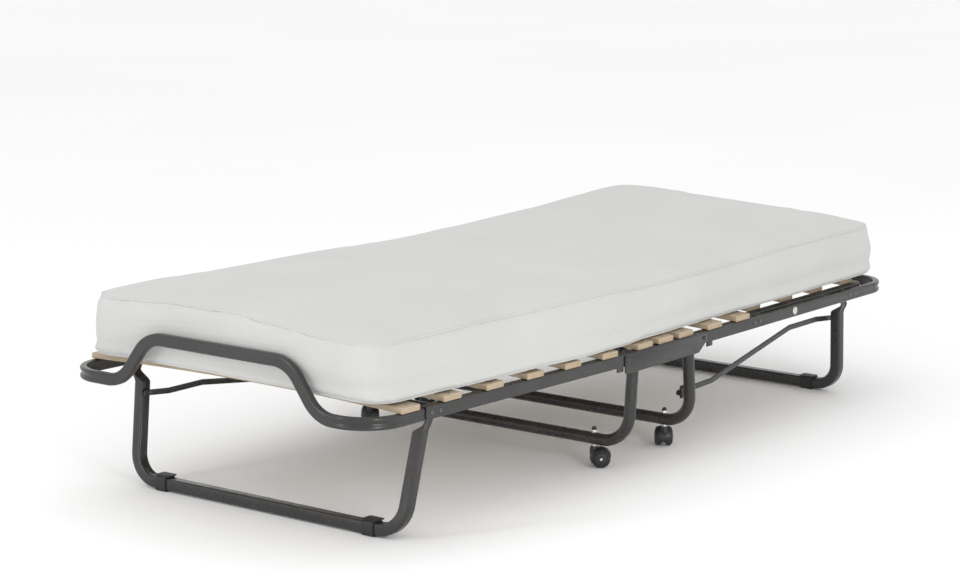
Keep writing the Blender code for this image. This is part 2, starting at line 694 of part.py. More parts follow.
def build_headrest(half):
    """Adjustable head section: an angle frame with four slats, held up by two props."""
    pivot = empty("headrest_pivot", (HEADREST_PIVOT, 0, 0), (0, 0, 0), half)
    high = RAIL_HEIGHT / 2
    low = high - HEADREST_WEB
    outer = HEADREST_OUTER
    web = [(0.0, high), (-HEADREST_FLANGE, high), (-HEADREST_FLANGE, high - SHEET)]
    web += [(-SHEET, high - SHEET), (-SHEET, low), (0.0, low)]
    start, end = HEADREST_START - HEADREST_PIVOT, HEADREST_END - HEADREST_PIVOT
    path = filleted([(start, -outer, 0), (end, -outer, 0), (end, outer, 0), (start, outer, 0)], 0.032, 4)
    frame = swept("headrest_frame", path, web)
    place(frame, DARK_PAINT, pivot)
    reach = PROP_PIVOT - HEADREST_PIVOT
    middle = 2 * reach - 0.020
    plate = moved(rounded_rectangle(0.082, 0.018, 0.003), middle, 0.0)
    slot = moved(rounded_rectangle(0.064, 0.0066, 0.003), middle, 0.0)
    lug = moved(rounded_rectangle(0.016, 0.018, 0.004), 0.002, 0.0)
    for local in (-1, 1):
        pin = stud(outer - SHEET / 2, HALF_WIDTH, 0.0, 0.0, local)
        boolean(frame, pin, "UNION")
        for outline in (plate, lug):
            hanger = extruded("hanger", [outline], local * (outer - 0.0005), local * (outer + 0.0018))
            boolean(frame, hanger, "UNION")
        cut = extruded("slot", [slot], local * (outer - 0.02), local * (outer + 0.004))
        boolean(frame, cut, "DIFFERENCE")
    for number, x in enumerate(HEADREST_SLATS, 1):
        slat(f"headrest_slat_{number}", x - HEADREST_PIVOT, high + GAP, HEADREST_SLAT_HALF, pivot)
    start = MATTRESS_HEADREST - HEADREST_PIVOT
    build_mattress("mattress_headrest", start, MATTRESS_END - HEADREST_PIVOT, pivot)
    return pivot


def build_props(half):
    """Two prop arms on silver bolts, whose tips ride in the racks."""
    reach = PROP_PIVOT - HEADREST_PIVOT
    pivot = empty("prop_pivot", (PROP_PIVOT, 0, 0), (0, 0, 0), half)
    outline = moved(rounded_rectangle(reach + 0.016, 0.016, 0.0075, 2), reach / 2, 0.0)
    for local in (-1, 1):
        low, high = PROP_Y - PROP_SHEET / 2, PROP_Y + PROP_SHEET / 2
        arm = extruded(f"prop_arm_{side_name(local)}", [outline], local * low, local * high)
        place(arm, ZINC, pivot)
        tip = cylinder("prop_tip", (reach, local * (low - 0.0012), 0), 0.0025, 0.0040)
        boolean(arm, tip, "UNION")
        outer = HALF_WIDTH - SHEET - 2 * GAP
        boolean(arm, stud(PROP_Y, outer, 0.0, 0.0, local, head=0.0088), "UNION")


def build_head():
    half = build_half("head", 1, HEAD_TILT)
    top = RAIL_HEIGHT / 2 + GAP
    for number, x in enumerate(HEAD_SLATS, 1):
        slat(f"head_slat_{number}", x, top, HALF_WIDTH, half)
    build_mattress("mattress_head", MATTRESS_JOIN, MATTRESS_HEADREST - 0.020, half)
    build_headrest(half)
    build_props(half)


build_centre()
build_foot()
build_head()
reach = HINGE_X + MATTRESS_JOIN - 0.004
base = HINGE_Z + MATTRESS_BASE + MATTRESS_CENTRE_LIFT
build_mattress("mattress_centre", -reach, reach, None, base)
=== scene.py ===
"""Looks of a folding guest bed: powder-coated frame, sprung slats, castors and a foam mattress.

Metres, +Z up, +X to the head end. Each half of the bed is drawn in its own frame, whose +X points
outward from the half's hinge, and is then laid in place by HALVES.
"""

from math import atan2, copysign, cos, exp, pi, radians, sin, sqrt, tanh

import bmesh
import bpy
from mathutils import Matrix, Vector, noise
from mathutils.bvhtree import BVHTree


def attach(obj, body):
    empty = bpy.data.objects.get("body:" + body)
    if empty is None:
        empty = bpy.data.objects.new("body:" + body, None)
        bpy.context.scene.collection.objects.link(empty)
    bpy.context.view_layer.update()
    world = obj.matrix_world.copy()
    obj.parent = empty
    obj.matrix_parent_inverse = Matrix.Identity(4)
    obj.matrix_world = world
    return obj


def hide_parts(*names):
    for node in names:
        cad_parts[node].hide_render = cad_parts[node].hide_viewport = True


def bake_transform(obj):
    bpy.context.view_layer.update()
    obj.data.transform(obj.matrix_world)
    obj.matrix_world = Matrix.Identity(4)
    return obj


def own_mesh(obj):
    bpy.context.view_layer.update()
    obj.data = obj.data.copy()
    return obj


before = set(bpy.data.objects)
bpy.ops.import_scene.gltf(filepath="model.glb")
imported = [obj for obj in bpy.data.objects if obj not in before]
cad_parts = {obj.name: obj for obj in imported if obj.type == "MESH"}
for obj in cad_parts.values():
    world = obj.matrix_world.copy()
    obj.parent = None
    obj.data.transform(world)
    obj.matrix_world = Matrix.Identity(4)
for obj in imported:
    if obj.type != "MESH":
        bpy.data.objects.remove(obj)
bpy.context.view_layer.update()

HINGE_X, HINGE_Z = 0.143, 0.244
TILTS = {"foot": 0.0147, "head": 0.0}
HALF_WIDTH = 0.400
SHEET = 0.002
GAP = 0.0003
PLATE_TOP = 0.0125
PLATE_SHEET = 0.0025


def facing(end):
    """Turns a body that is drawn for the head end to face its own end."""
    return Matrix.Rotation(pi if end == "foot" else 0.0, 4, "Z")


def half_frame(end):
    x = -HINGE_X if end == "foot" else HINGE_X
    return Matrix.Translation((x, 0, HINGE_Z)) @ facing(end) @ Matrix.Rotation(-TILTS[end], 4, "Y")


HALVES = {end: half_frame(end) for end in TILTS}


def side_of(end, local):
    """Name of the bed's side for a side of a half."""
    return "left" if (local if end == "head" else -local) > 0 else "right"


def add_object(name, data):
    made = bpy.data.objects.new(name, data)
    bpy.context.scene.collection.objects.link(made)
    return made


# ---- materials


class Nodes:
    """Short way to write a material's node tree."""

    def __init__(self, name, roughness, specular=0.5, metallic=0.0):
        self.material = bpy.data.materials.new(name)
        self.material.use_nodes = True
        self.tree = self.material.node_tree
        self.shader = self.tree.nodes["Principled BSDF"]
        self.shader.inputs["Roughness"].default_value = roughness
        self.shader.inputs["Specular IOR Level"].default_value = specular
        self.shader.inputs["Metallic"].default_value = metallic
        self.where = self.tree.nodes.new("ShaderNodeTexCoord").outputs["Object"]

    def node(self, kind, links, **values):
        made = self.tree.nodes.new("ShaderNode" + kind)
        for key, value in values.items():
            setattr(made, key, value)
        for socket, source in links.items():
            if isinstance(source, bpy.types.NodeSocket):
                self.tree.links.new(source, made.inputs[socket])
            else:
                made.inputs[socket].default_value = source
        return made

    def stretched(self, scale, shift=(0.0, 0.0, 0.0)):
        return self.node("Mapping", {"Vector": self.where, "Scale": scale, "Location": shift}).outputs[0]

    def noise(self, scale, detail=2.0, vector=None, roughness=0.5, distortion=0.0):
        links = {"Vector": vector or self.where, "Scale": scale, "Detail": detail, "Roughness": roughness}
        return self.node("TexNoise", links | {"Distortion": distortion}).outputs["Fac"]

    def ramp(self, source, stops):
        made = self.node("ValToRGB", {"Fac": source})
        elements = made.color_ramp.elements
        while len(elements) < len(stops):
            elements.new(0.5)
        for element, (place, colour) in zip(elements, stops):
            element.position = place
            element.color = (*colour, 1.0)
        return made.outputs["Color"]

    def grey(self, source, low, high, start=0.0, end=1.0):
        links = {"Value": source, "From Min": start, "From Max": end, "To Min": low, "To Max": high}
        return self.node("MapRange", links).outputs[0]

    def mix(self, factor, source, colour):
        return self.node("Mix", {0: factor, 6: source, 7: (*colour, 1.0)}, data_type="RGBA").outputs[2]

    def bump(self, height, strength, distance, normal=None):
        links = {"Height": height, "Strength": strength, "Distance": distance}
        if normal:
            links["Normal"] = normal
        return self.node("Bump", links).outputs[0]

    def to(self, socket, source):
        self.tree.links.new(source, self.shader.inputs[socket])


def paint(name, dark, light, roughness):
    """Powder coat: fine orange peel, with faint changes of tone and of gloss."""
    m = Nodes(name, roughness)
    patches = m.noise(9.0, 3.0)
    m.to("Base Color", m.ramp(patches, ((0.30, dark), (0.72, light))))
    m.to("Roughness", m.grey(m.noise(26.0, 4.0), roughness - 0.07, roughness + 0.10, 0.3, 0.7))
    peel = m.noise(520.0, 2.0)
    m.to("Normal", m.bump(peel, 0.16, 0.0004))
    return m.material


def beech():
    """Lacquered beech: grain along the slat, flecks, and a tone that differs from slat to slat."""
    m = Nodes("beech_look", 0.46, 0.45)
    along = m.stretched((42.0, 2.2, 60.0))
    grain = m.noise(1.0, 6.0, along, 0.62, 0.35)
    fleck = m.noise(1.0, 2.0, m.stretched((700.0, 26.0, 700.0)), 0.5)
    tone = m.noise(1.0, 0.0, m.stretched((7.0, 0.35, 0.0), (3.1, 0.0, 0.0)))
    stops = ((0.30, (0.345, 0.255, 0.165)), (0.52, (0.43, 0.335, 0.230)), (0.74, (0.48, 0.385, 0.275)))
    base = m.ramp(grain, stops)
    base = m.mix(m.grey(fleck, 0.0, 0.55, 0.55, 0.75), base, (0.26, 0.175, 0.105))
    base = m.mix(m.grey(tone, 0.0, 0.45, 0.35, 0.65), base, (0.37, 0.305, 0.225))
    m.to("Base Color", base)
    m.to("Roughness", m.grey(grain, 0.40, 0.56, 0.3, 0.7))
    m.to("Normal", m.bump(grain, 0.10, 0.0006))
    return m.material


def end_grain():
    m = Nodes("beech_end_look", 0.62, 0.35)
    pores = m.noise(1500.0, 2.0)
    rings = m.noise(1.0, 3.0, m.stretched((30.0, 30.0, 420.0)), 0.5, 0.6)
    base = m.ramp(rings, ((0.32, (0.365, 0.282, 0.186)), (0.66, (0.460, 0.368, 0.258))))
    m.to("Base Color", m.mix(m.grey(pores, 0.0, 0.5, 0.55, 0.72), base, (0.30, 0.21, 0.13)))
    m.to("Normal", m.bump(pores, 0.15, 0.0004))
    return m.material


def metal(name, colour, roughness):
    m = Nodes(name, roughness, 0.5, 1.0)
    cloud = m.noise(160.0, 3.0)
    darker = tuple(c * 0.80 for c in colour)
    m.to("Base Color", m.ramp(cloud, ((0.35, darker), (0.65, colour))))
    m.to("Roughness", m.grey(m.noise(420.0, 2.0), roughness - 0.06, roughness + 0.12, 0.3, 0.7))
    m.to("Normal", m.bump(m.noise(900.0, 2.0), 0.08, 0.0002))
    return m.material


def plastic(name, dark, light, roughness):
    """Moulded plastic with a fine eroded texture and scuffs."""
    m = Nodes(name, roughness, 0.5)
    m.to("Base Color", m.ramp(m.noise(60.0, 4.0), ((0.35, dark), (0.70, light))))
    m.to("Roughness", m.grey(m.noise(140.0, 4.0), roughness - 0.08, roughness + 0.14, 0.3, 0.7))
    m.to("Normal", m.bump(m.noise(1400.0, 1.0), 0.22, 0.0003))
    return m.material


def ticking():
    """Off-white knitted cover: fine rows of stitches with painted shade in their grooves, faint slubs, soft
    creases and a slight nap.
    """
    m = Nodes("ticking_look", 0.86, 0.22)
    m.shader.inputs["Sheen Weight"].default_value = 0.15
    m.shader.inputs["Sheen Roughness"].default_value = 0.55

    def bands(scale):
        links = {"Vector": m.stretched(scale), "Scale": 115.0, "Distortion": 1.2, "Detail": 1.0}
        return m.node("TexWave", links, bands_direction="DIAGONAL").outputs["Fac"]

    both = {0: bands((1.0, 0.0, 0.35)), 1: bands((0.0, 1.0, 1.0))}
    stitch = m.node("Math", both, operation="MULTIPLY").outputs[0]
    slub = m.noise(1.0, 4.0, m.stretched((520.0, 60.0, 520.0)), 0.6)
    cloud = m.noise(4.5, 3.0)
    crease = m.noise(1.0, 3.0, m.stretched((7.0, 16.0, 9.0)), 0.55, 0.8)
    base = m.ramp(cloud, ((0.30, (0.515, 0.522, 0.508)), (0.70, (0.540, 0.549, 0.536))))
    # Painted shade: the grooves between stitch rows, where the stitch bump is low, are painted a little
    # darker.
    base = m.mix(m.grey(stitch, 0.10, 0.0, 0.0, 0.35), base, (0.43, 0.435, 0.42))
    base = m.mix(m.grey(slub, 0.0, 0.16, 0.52, 0.75), base, (0.59, 0.595, 0.585))
    m.to("Base Color", base)
    m.to("Roughness", m.grey(cloud, 0.82, 0.92, 0.3, 0.7))
    fine = m.bump(stitch, 0.30, 0.0005)
    fine = m.bump(slub, 0.15, 0.0004, fine)
    m.to("Normal", m.bump(crease, 0.25, 0.0040, fine))
    return m.material


PAINT = paint("frame_paint_look", (0.0225, 0.0212, 0.0208), (0.0305, 0.0288, 0.0280), 0.27)
DARK = paint("dark_paint_look", (0.015, 0.0145, 0.0145), (0.022, 0.021, 0.021), 0.36)
WOOD = beech()
WOOD_END = end_grain()
ZINC = metal("zinc_look", (0.74, 0.74, 0.72), 0.26)
RIVET = metal("rivet_look", (0.17, 0.165, 0.16), 0.36)
PLASTIC = plastic("castor_plastic_look", (0.013, 0.013, 0.014), (0.022, 0.022, 0.023), 0.42)
GLIDE = plastic("glide_plastic_look", (0.011, 0.011, 0.011), (0.020, 0.020, 0.020), 0.52)
TICKING = ticking()


# ---- shapes


def arc(cx, cy, radius, start, end, steps):
    turns = [start + (end - start) * i / steps for i in range(steps + 1)]
    return [(cx + radius * cos(t), cy + radius * sin(t)) for t in turns]


def rounded(width, height, radius, steps=4):
    """Anticlockwise outline of a rounded rectangle about (0, 0)."""
    points = []
    for side_x, side_y, turn in ((1, 1, 0.0), (-1, 1, 0.5 * pi), (-1, -1, pi), (1, -1, 1.5 * pi)):
        x, y = side_x * (width / 2 - radius), side_y * (height / 2 - radius)
        points += arc(x, y, radius, turn, turn + 0.5 * pi, steps)
    return points


def moved(outline, x, y):
    return [(x + u, y + v) for u, v in outline]


def circle(radius, sides):
    return [(radius * cos(2 * pi * i / sides), radius * sin(2 * pi * i / sides)) for i in range(sides)]


def filleted(corners, radius, steps=10):
    """A polyline with an arc at each inner corner. A radius can be given for each corner."""
    corners = [Vector(c) for c in corners]
    radii = radius if isinstance(radius, (list, tuple)) else [radius] * (len(corners) - 2)
    points = [corners[0]]
    for before, corner, after, r in zip(corners, corners[1:], corners[2:], radii):
        back, ahead = (before - corner).normalized(), (after - corner).normalized()
        half = back.angle(ahead) / 2
        if r <= 0 or half > 1.565:
            points.append(corner)
            continue
        reach = r * cos(half) / sin(half)
        centre = corner + (back + ahead).normalized() * (r / sin(half))
        first, last = corner + back * reach - centre, corner + ahead * reach - centre
        sweep, axis = first.angle(last), first.cross(last)
        points += [centre + Matrix.Rotation(sweep * i / steps, 3, axis) @ first for i in range(steps + 1)]
    points.append(corners[-1])
    return points


def along_path(path, up):
    """Place, side, rise, bend direction and stretch at each point of a path."""
    up = Vector(up)
    found = []
    for i, point in enumerate(path):
        before = (point - path[i - 1]).normalized() if i else None
        after = (path[i + 1] - point).normalized() if i + 1 < len(path) else None
        before, after = before or after, after or before
        along = (before + after).normalized()
        side = along.cross(up).normalized()
        rise = side.cross(along)
        bend = after - before
        found.append((point, side, rise, bend, 1.0 / max(along.dot(after), 0.5)))
    return found


AXIS_HOLE = 0.00002


class Shape:
    """Vertices and faces of one piece, gathered from simple bodies."""

    def __init__(self):
        self.verts = []
        self.faces = []
        self.marks = []

    def rings(self, rings, loop=False, mark=0, caps=True):
        base, count = len(self.verts), len(rings[0])
        for ring in rings:
            self.verts += [Vector(p) for p in ring]
        rows = len(rings)
        for r in range(rows if loop else rows - 1):
            low, high = base + r * count, base + ((r + 1) % rows) * count
            for i in range(count):
                j = (i + 1) % count
                self.face((low + i, low + j, high + j, high + i), mark)
        if caps and not loop:
            self.face(tuple(reversed(range(base, base + count))), mark)
            self.face(tuple(range(base + (rows - 1) * count, base + rows * count)), mark)
        return self

    def face(self, corners, mark=0):
        self.faces.append(corners)
        self.marks.append(mark)

    def sweep(self, path, section, up=(0, 0, 1)):
        """Section can be a list of points, or a function of the index on the path."""
        rings = []
        for i, (point, side, rise, bend, stretch) in enumerate(along_path([Vector(p) for p in path], up)):
            outline = section(i) if callable(section) else section
            across = bend.normalized() if bend.length > 1e-6 else None
            ring = []
            for u, v in outline:
                offset = side * u + rise * v
                if across:
                    offset = offset + across * (offset.dot(across) * (stretch - 1.0))
                ring.append(point + offset)
            rings.append(ring)
        return self.rings(rings)

    def lathe(self, profile, centre, axis, sides=28, mark=0):
        """Turned body from (radius, distance along the axis). It closes on the axis at both ends."""
        turn = Vector(axis).normalized().to_track_quat("Z", "Y").to_matrix()
        centre = Vector(centre)
        rings = []
        for radius, along in profile:
            ring = circle(max(radius, AXIS_HOLE), sides)
            rings.append([centre + turn @ Vector((x, y, along)) for x, y in ring])
        return self.rings(rings, mark=mark)

    def plate(self, outline, low, high, edge, lay=lambda u, v, t: (u, v, t)):
        """A flat plate with rounded edges. lay turns (u, v, thickness) into a point."""
        ring = []
        steps = ((0.0, 1.0), (0.30, 0.30), (1.0, 0.0))
        levels = [(low + edge * rise, edge * inset) for rise, inset in steps]
        levels += [(high - edge * rise, edge * inset) for rise, inset in reversed(steps)]
        for depth, inset in levels:
            ring.append([Vector(lay(u, v, depth)) for u, v in inset_outline(outline, inset)])
        return self.rings(ring)


def upright(side):
    """Lays a plate on edge along the bed, with its thickness outward on one side."""
    return lambda u, v, t: (u, side * t, v)


def inset_outline(outline, inset):
    """Moves an anticlockwise outline inward."""
    if inset <= 0:
        return list(outline)
    result = []
    for i, point in enumerate(outline):
        here = Vector(point)
        a, b = here - Vector(outline[i - 1]), Vector(outline[(i + 1) % len(outline)]) - here
        shift = Vector((0, 0))
        if min(a.length, b.length) > 1e-9:
            a, b = a.normalized(), b.normalized()
            normal = Vector((-a.y - b.y, a.x + b.x)).normalized()
            shift = normal * (inset / max(normal.dot(Vector((-a.y, a.x))), 0.35))
        result.append(tuple(here + shift))
    return result


def piece(node, shape, body, materials, place=None, angle=38.0, extra=False):
    """Makes the visible piece of a node from a shape, or an extra one that stands for no node."""
    name = node if extra else node + "_look"
    mesh = bpy.data.meshes.new(name)
    place = place or Matrix.Identity(4)
    mesh.from_pydata([place @ v for v in shape.verts], [], shape.faces)
    for polygon, mark in zip(mesh.polygons, shape.marks):
        polygon.material_index = mark
    bm = bmesh.new()
    bm.from_mesh(mesh)
    bmesh.ops.recalc_face_normals(bm, faces=bm.faces)
    bm.to_mesh(mesh)
    bm.free()
    mesh.shade_smooth()
    mesh.set_sharp_from_angle(angle=radians(angle))
    made = add_object(name, mesh)
    for material in materials if isinstance(materials, list) else [materials]:
        mesh.materials.append(material)
    if not extra:
        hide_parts(node)
    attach(made, body)


def dome(radius, height, lip=0.0006):
    """Profile of a low domed head, sunk a little into what it sits on."""
    points = [(0.0, -0.0004), (radius, -0.0004), (radius, lip)]
    for i in range(1, 7):
        t = 0.5 * pi * i / 6
        points.append((radius * cos(t), lip + (height - lip) * sin(t)))
    return points


def rod(radius, low, high):
    """Profile of a plain round bar."""
    return [(0.0, low), (radius, low), (radius, high), (0.0, high)]


# ---- frame


RAIL_HEIGHT, RAIL_START, FLANGE = 0.025, -0.012, 0.020
STOP_TAB = [(0.0120, -0.0120), (0.0120, -0.0205), (0.0135, -0.0220)]
STOP_TAB += [(0.0325, -0.0220), (0.0345, -0.0200), (0.0345, -0.0120)]
TUBE_HEIGHT, TUBE_DEPTH = 0.0245, 0.015
SECTION_LENGTH = 0.812
CORNER_RADIUS = 0.078
BOW_RISE, BOW_FOOT_Y, BOW_TOP_Y, BOW_RADIUS = 0.096, 0.2515, 0.1805, 0.072
BOW_SHIFTS = {"foot": 0.013, "head": 0.0}
RAIL_ENDS = {"foot": 0.655, "head": 0.245}
TUBE_STARTS = {"foot": 0.585, "head": 0.188}
LEG_PIVOT = 0.6125
HEADREST_PIVOT = 0.203
PROP_PIVOT = 0.373


def rail_section(local):
    """Inverted L with a rounded bend, anticlockwise."""
    web, flange, high, low = HALF_WIDTH, HALF_WIDTH - FLANGE, RAIL_HEIGHT / 2, -RAIL_HEIGHT / 2
    bend = arc(web - 0.0032, high - 0.0032, 0.0032, 0.0, 0.5 * pi, 5)
    inner = arc(web - 0.0032, high - 0.0032, 0.0012, 0.5 * pi, 0.0, 4)
    edge = 0.0005
    outline = [(web - edge, low), (web, low + edge)] + bend
    outline += [(flange + edge, high), (flange, high - edge)]
    outline += [(flange, high - SHEET + edge), (flange + edge, high - SHEET)]
    outline += inner + [(web - SHEET, low + edge), (web - SHEET + edge, low)]
    if local < 0:
        outline = [(-y, z) for y, z in reversed(outline)]
    return outline


def build_rails(end):
    for local in (-1, 1):
        shape = Shape()
        stop = RAIL_ENDS[end]
        section = rail_section(local)
        stations = (RAIL_START, RAIL_START + 0.0004, stop - 0.0004, stop)
        shape.rings([[(x, y, z) for y, z in section] for x in stations])
        shape.plate(STOP_TAB, HALF_WIDTH - SHEET, HALF_WIDTH - 0.0001, 0.0004, upright(local))
        name = f"{end}_rail_{side_of(end, local)}"
        piece(name, shape, f"{end}_section", PAINT, HALVES[end])


def tube_path(start, drop, shift):
    """Middle line of an end tube, with its raised bow."""
    y = HALF_WIDTH - SHEET - 2 * GAP - TUBE_DEPTH / 2
    end = SECTION_LENGTH - TUBE_DEPTH / 2
    corner = filleted([(start, -y, drop), (end, -y, drop), (end, 0, drop)], CORNER_RADIUS, 18)[:-1]
    bends = [(end, -y + CORNER_RADIUS + 0.002, drop), (end, -BOW_FOOT_Y, drop)]
    bends += [(end, -BOW_TOP_Y, drop + BOW_RISE), (end, 0, drop + BOW_RISE)]
    rise = filleted(bends, BOW_RADIUS, 14)[1:-1]
    sideways = Vector((0, shift, 0))
    other = [Vector((p.x, -p.y, p.z)) for p in corner + [p - sideways for p in rise]]
    return corner + [p + sideways for p in rise] + other[::-1]


def grooved(width, height, radius, depth):
    """Rounded rectangle whose outer face, at +width/2, is pressed in along its middle."""
    outline = rounded(width, height, radius)
    flat = height / 2 - radius
    steps = 8
    for i in range(1, steps):
        v = -flat + 2 * flat * i / steps
        near = abs(v) / flat
        press = depth * (0.5 + 0.5 * cos(pi * min(near / 0.80, 1.0)))
        outline.append((width / 2 - press, v))
    return outline


def build_end_tube(end):
    """End tube: the flat face is pressed in along the outside of each plan corner."""
    drop = RAIL_HEIGHT / 2 - SHEET - GAP - TUBE_HEIGHT / 2
    path = tube_path(TUBE_STARTS[end], drop, BOW_SHIFTS[end])
    corner_x = SECTION_LENGTH - TUBE_DEPTH / 2 - CORNER_RADIUS
    corner_y = HALF_WIDTH - SHEET - 2 * GAP - TUBE_DEPTH / 2 - CORNER_RADIUS

    def section(i):
        point = path[i]
        turn = atan2(abs(point.y) - corner_y, point.x - corner_x) if point.x > corner_x else 0.5 * pi
        share = min(max((0.5 * pi - turn) / (0.5 * pi), 0.0), 1.0)
        depth = 0.0031 * max(sin(pi * share), 0.0) ** 0.6 if 0.0 < share < 1.0 else 0.0
        return grooved(TUBE_DEPTH, TUBE_HEIGHT, 0.0038, depth)

    name, shape = f"{end}_end_tube", Shape().sweep(path, section)
    piece(name, shape, f"{end}_section", PAINT, HALVES[end], 32)


def build_side_plates():
    """The centre's side plates: a lobed plate outside the rails, with a flange under the slats."""
    half, low, high = 0.152, HINGE_Z - 0.0285, HINGE_Z + PLATE_TOP
    inner, flange = HALF_WIDTH + GAP, HALF_WIDTH - FLANGE
    face = inner + 0.0022
    for side in (-1, 1):
        corners = [(-half, high, 0), (-half, low, 0), (0.121, low, 0), (half, 0.237, 0), (half, high, 0)]
        start = (0.0, high, 0)
        loop = filleted([start] + corners + [start], [0.007, 0.007, 0.012, 0.008, 0.008], 6)[1:-1]
        outline = [(p.x, p.y) for p in loop]
        if side > 0:
            outline = [(-x, z) for x, z in reversed(outline)]
        shape = Shape().plate(outline, inner, inner + PLATE_SHEET, 0.0006, upright(side))
        bend = arc(face - 0.0018, high - 0.0018, 0.0018, 0.0, 0.5 * pi, 4)
        section = [(face, high - 0.0050)] + bend + [(flange + 0.0004, high), (flange, high - 0.0004)]
        section += [(flange, high - SHEET + 0.0004), (flange + 0.0004, high - SHEET)]
        section += [(inner, high - SHEET), (inner, high - 0.0050)]
        ends = (-0.122, -0.1215, 0.1215, 0.122)
        shape.rings([[(x, side * y, z) for y, z in section] for x in ends])
        name = f"side_plate_{'left' if side > 0 else 'right'}"
        piece(name, shape, "centre", PAINT)


U_TOP_X, U_FLOOR_X, U_LEG_Y, U_CROSS_Z, U_BEND, ROUND_TUBE = 0.100, 0.117, 0.3870, 0.0612, 0.062, 0.0125
BRACE_IN_X, BRACE_IN_Z, BRACE_IN_Y, BRACE_OUT_Y = -0.027, -0.117, 0.3620, 0.3355
BRACE_SHEET, BRACE_WIDTH, BRACE_TIP = 0.004, 0.012, (0.0165, -0.066)
BRACE_CRANKS = {
    "foot": ((-0.010, 0.0, 0.362), (0.125, -0.012, 0.358), (0.505, 0.008, 0.3355), (0.603, -0.001, 0.3355)),
    "head": ((-0.010, 0.0, 0.362), (0.125, -0.008, 0.358), (0.485, 0.0205, 0.3355), (0.600, 0.012, 0.3355)),
}
CASTOR_YS = {"foot": 0.302, "head": 0.320}


def build_castor_frames():
    """Bent tubes under the hinges that carry the castors, each with the bracket of its brace."""
    for end, way in (("foot", -1), ("head", 1)):
        high = HINGE_Z + PLATE_TOP - SHEET - 5 * GAP
        corners = [(way * U_TOP_X, -U_LEG_Y, high), (way * U_FLOOR_X, -U_LEG_Y, U_CROSS_Z)]
        corners += [(way * U_FLOOR_X, U_LEG_Y, U_CROSS_Z), (way * U_TOP_X, U_LEG_Y, high)]
        shape = Shape().sweep(filleted(corners, U_BEND, 16), circle(ROUND_TUBE, 28), up=(1, 0, 0))
        side = -way
        x, z = way * (HINGE_X + BRACE_IN_X), HINGE_Z + BRACE_IN_Z
        low = BRACE_IN_Y + BRACE_SHEET / 2 + GAP
        bracket = moved(rounded(0.018, 0.028, 0.005, 5), x, z)
        shape.plate(bracket, low, low + 0.003, 0.0005, upright(side))
        ledge = moved(rounded(0.016, 0.003, 0.0006, 2), x, z + 0.0120)
        shape.plate(ledge, low + 0.001, U_LEG_Y - 0.009, 0.0003, upright(side))
        name = f"castor_frame_{end}"
        piece(name, shape, "centre", PAINT)


LEG_TUBE, LEG_ROUND, LEG_BEND = 0.0245, 0.0048, 0.058
LEG_TOP_X, LEG_TOP_Y, LEG_TOP_DROP = 0.0115, 0.3600, 0.048
LEG_FLOOR_X, LEG_FLOOR_Y = 0.0455, 0.3440
TAB_Y, TAB_SHEET, TAB_DROP, GLIDE_Y, GLIDE_WALL = 0.3780, 0.003, 0.008, 0.270, 0.003


def smoothstep(t):
    t = min(max(t, 0.0), 1.0)
    return t * t * (3 - 2 * t)


def leg_rings(drop):
    """From the flat tab at the pivot to the middle of the floor tube, as rings of 28 points."""
    floor = -drop + GLIDE_WALL + LEG_TUBE / 2
    square = grooved(LEG_TUBE, LEG_TUBE, LEG_ROUND, 0.0)
    top = (LEG_TOP_X, -LEG_TOP_Y, -LEG_TOP_DROP)
    path = filleted([top, (LEG_FLOOR_X, -LEG_FLOOR_Y, floor), (LEG_FLOOR_X, 0.0, floor)], LEG_BEND, 16)
    rings = []
    flat_top = RAIL_HEIGHT / 2 - SHEET - 3 * GAP
    thin = TAB_SHEET / LEG_TUBE
    crown = ((flat_top, 0.40), (flat_top - 0.0012, 0.66), (flat_top - 0.0040, 0.90), (0.0, 1.0))
    for height, width in crown:
        rings.append([Vector((v * width, -TAB_Y + u * thin, height)) for u, v in square])
    steps = 14
    for i in range(steps):
        t = (i + 1) / (steps + 1)
        height = -TAB_DROP + (-LEG_TOP_DROP + TAB_DROP) * t
        x = LEG_TOP_X * smoothstep(t * 1.9)
        swell_out = smoothstep((t - 0.42) / 0.58)
        y = -TAB_Y + (TAB_Y - LEG_TOP_Y) * swell_out
        thick = TAB_SHEET + (LEG_TUBE - TAB_SHEET) * swell_out
        ring = []
        for u, v in square:
            dent = 0.0034 * sin(pi * t) if u < -LEG_TUBE / 2 + 0.0005 and abs(v) < 0.0075 else 0.0
            ring.append(Vector((x + v, y + (u + dent) * thick / LEG_TUBE, height)))
        rings.append(ring)
    last = len(path) - 1
    for i, (point, side, rise, _, _) in enumerate(along_path(path, (1, 0, 0))):
        share = (i - 1) / (last - 2) if 1 <= i < last else 0.0
        press = 0.0026 * max(sin(pi * share), 0.0) ** 0.6
        section = grooved(LEG_TUBE, LEG_TUBE, LEG_ROUND, press)
        rings.append([point + rise * v - side * u for u, v in section])
    return rings


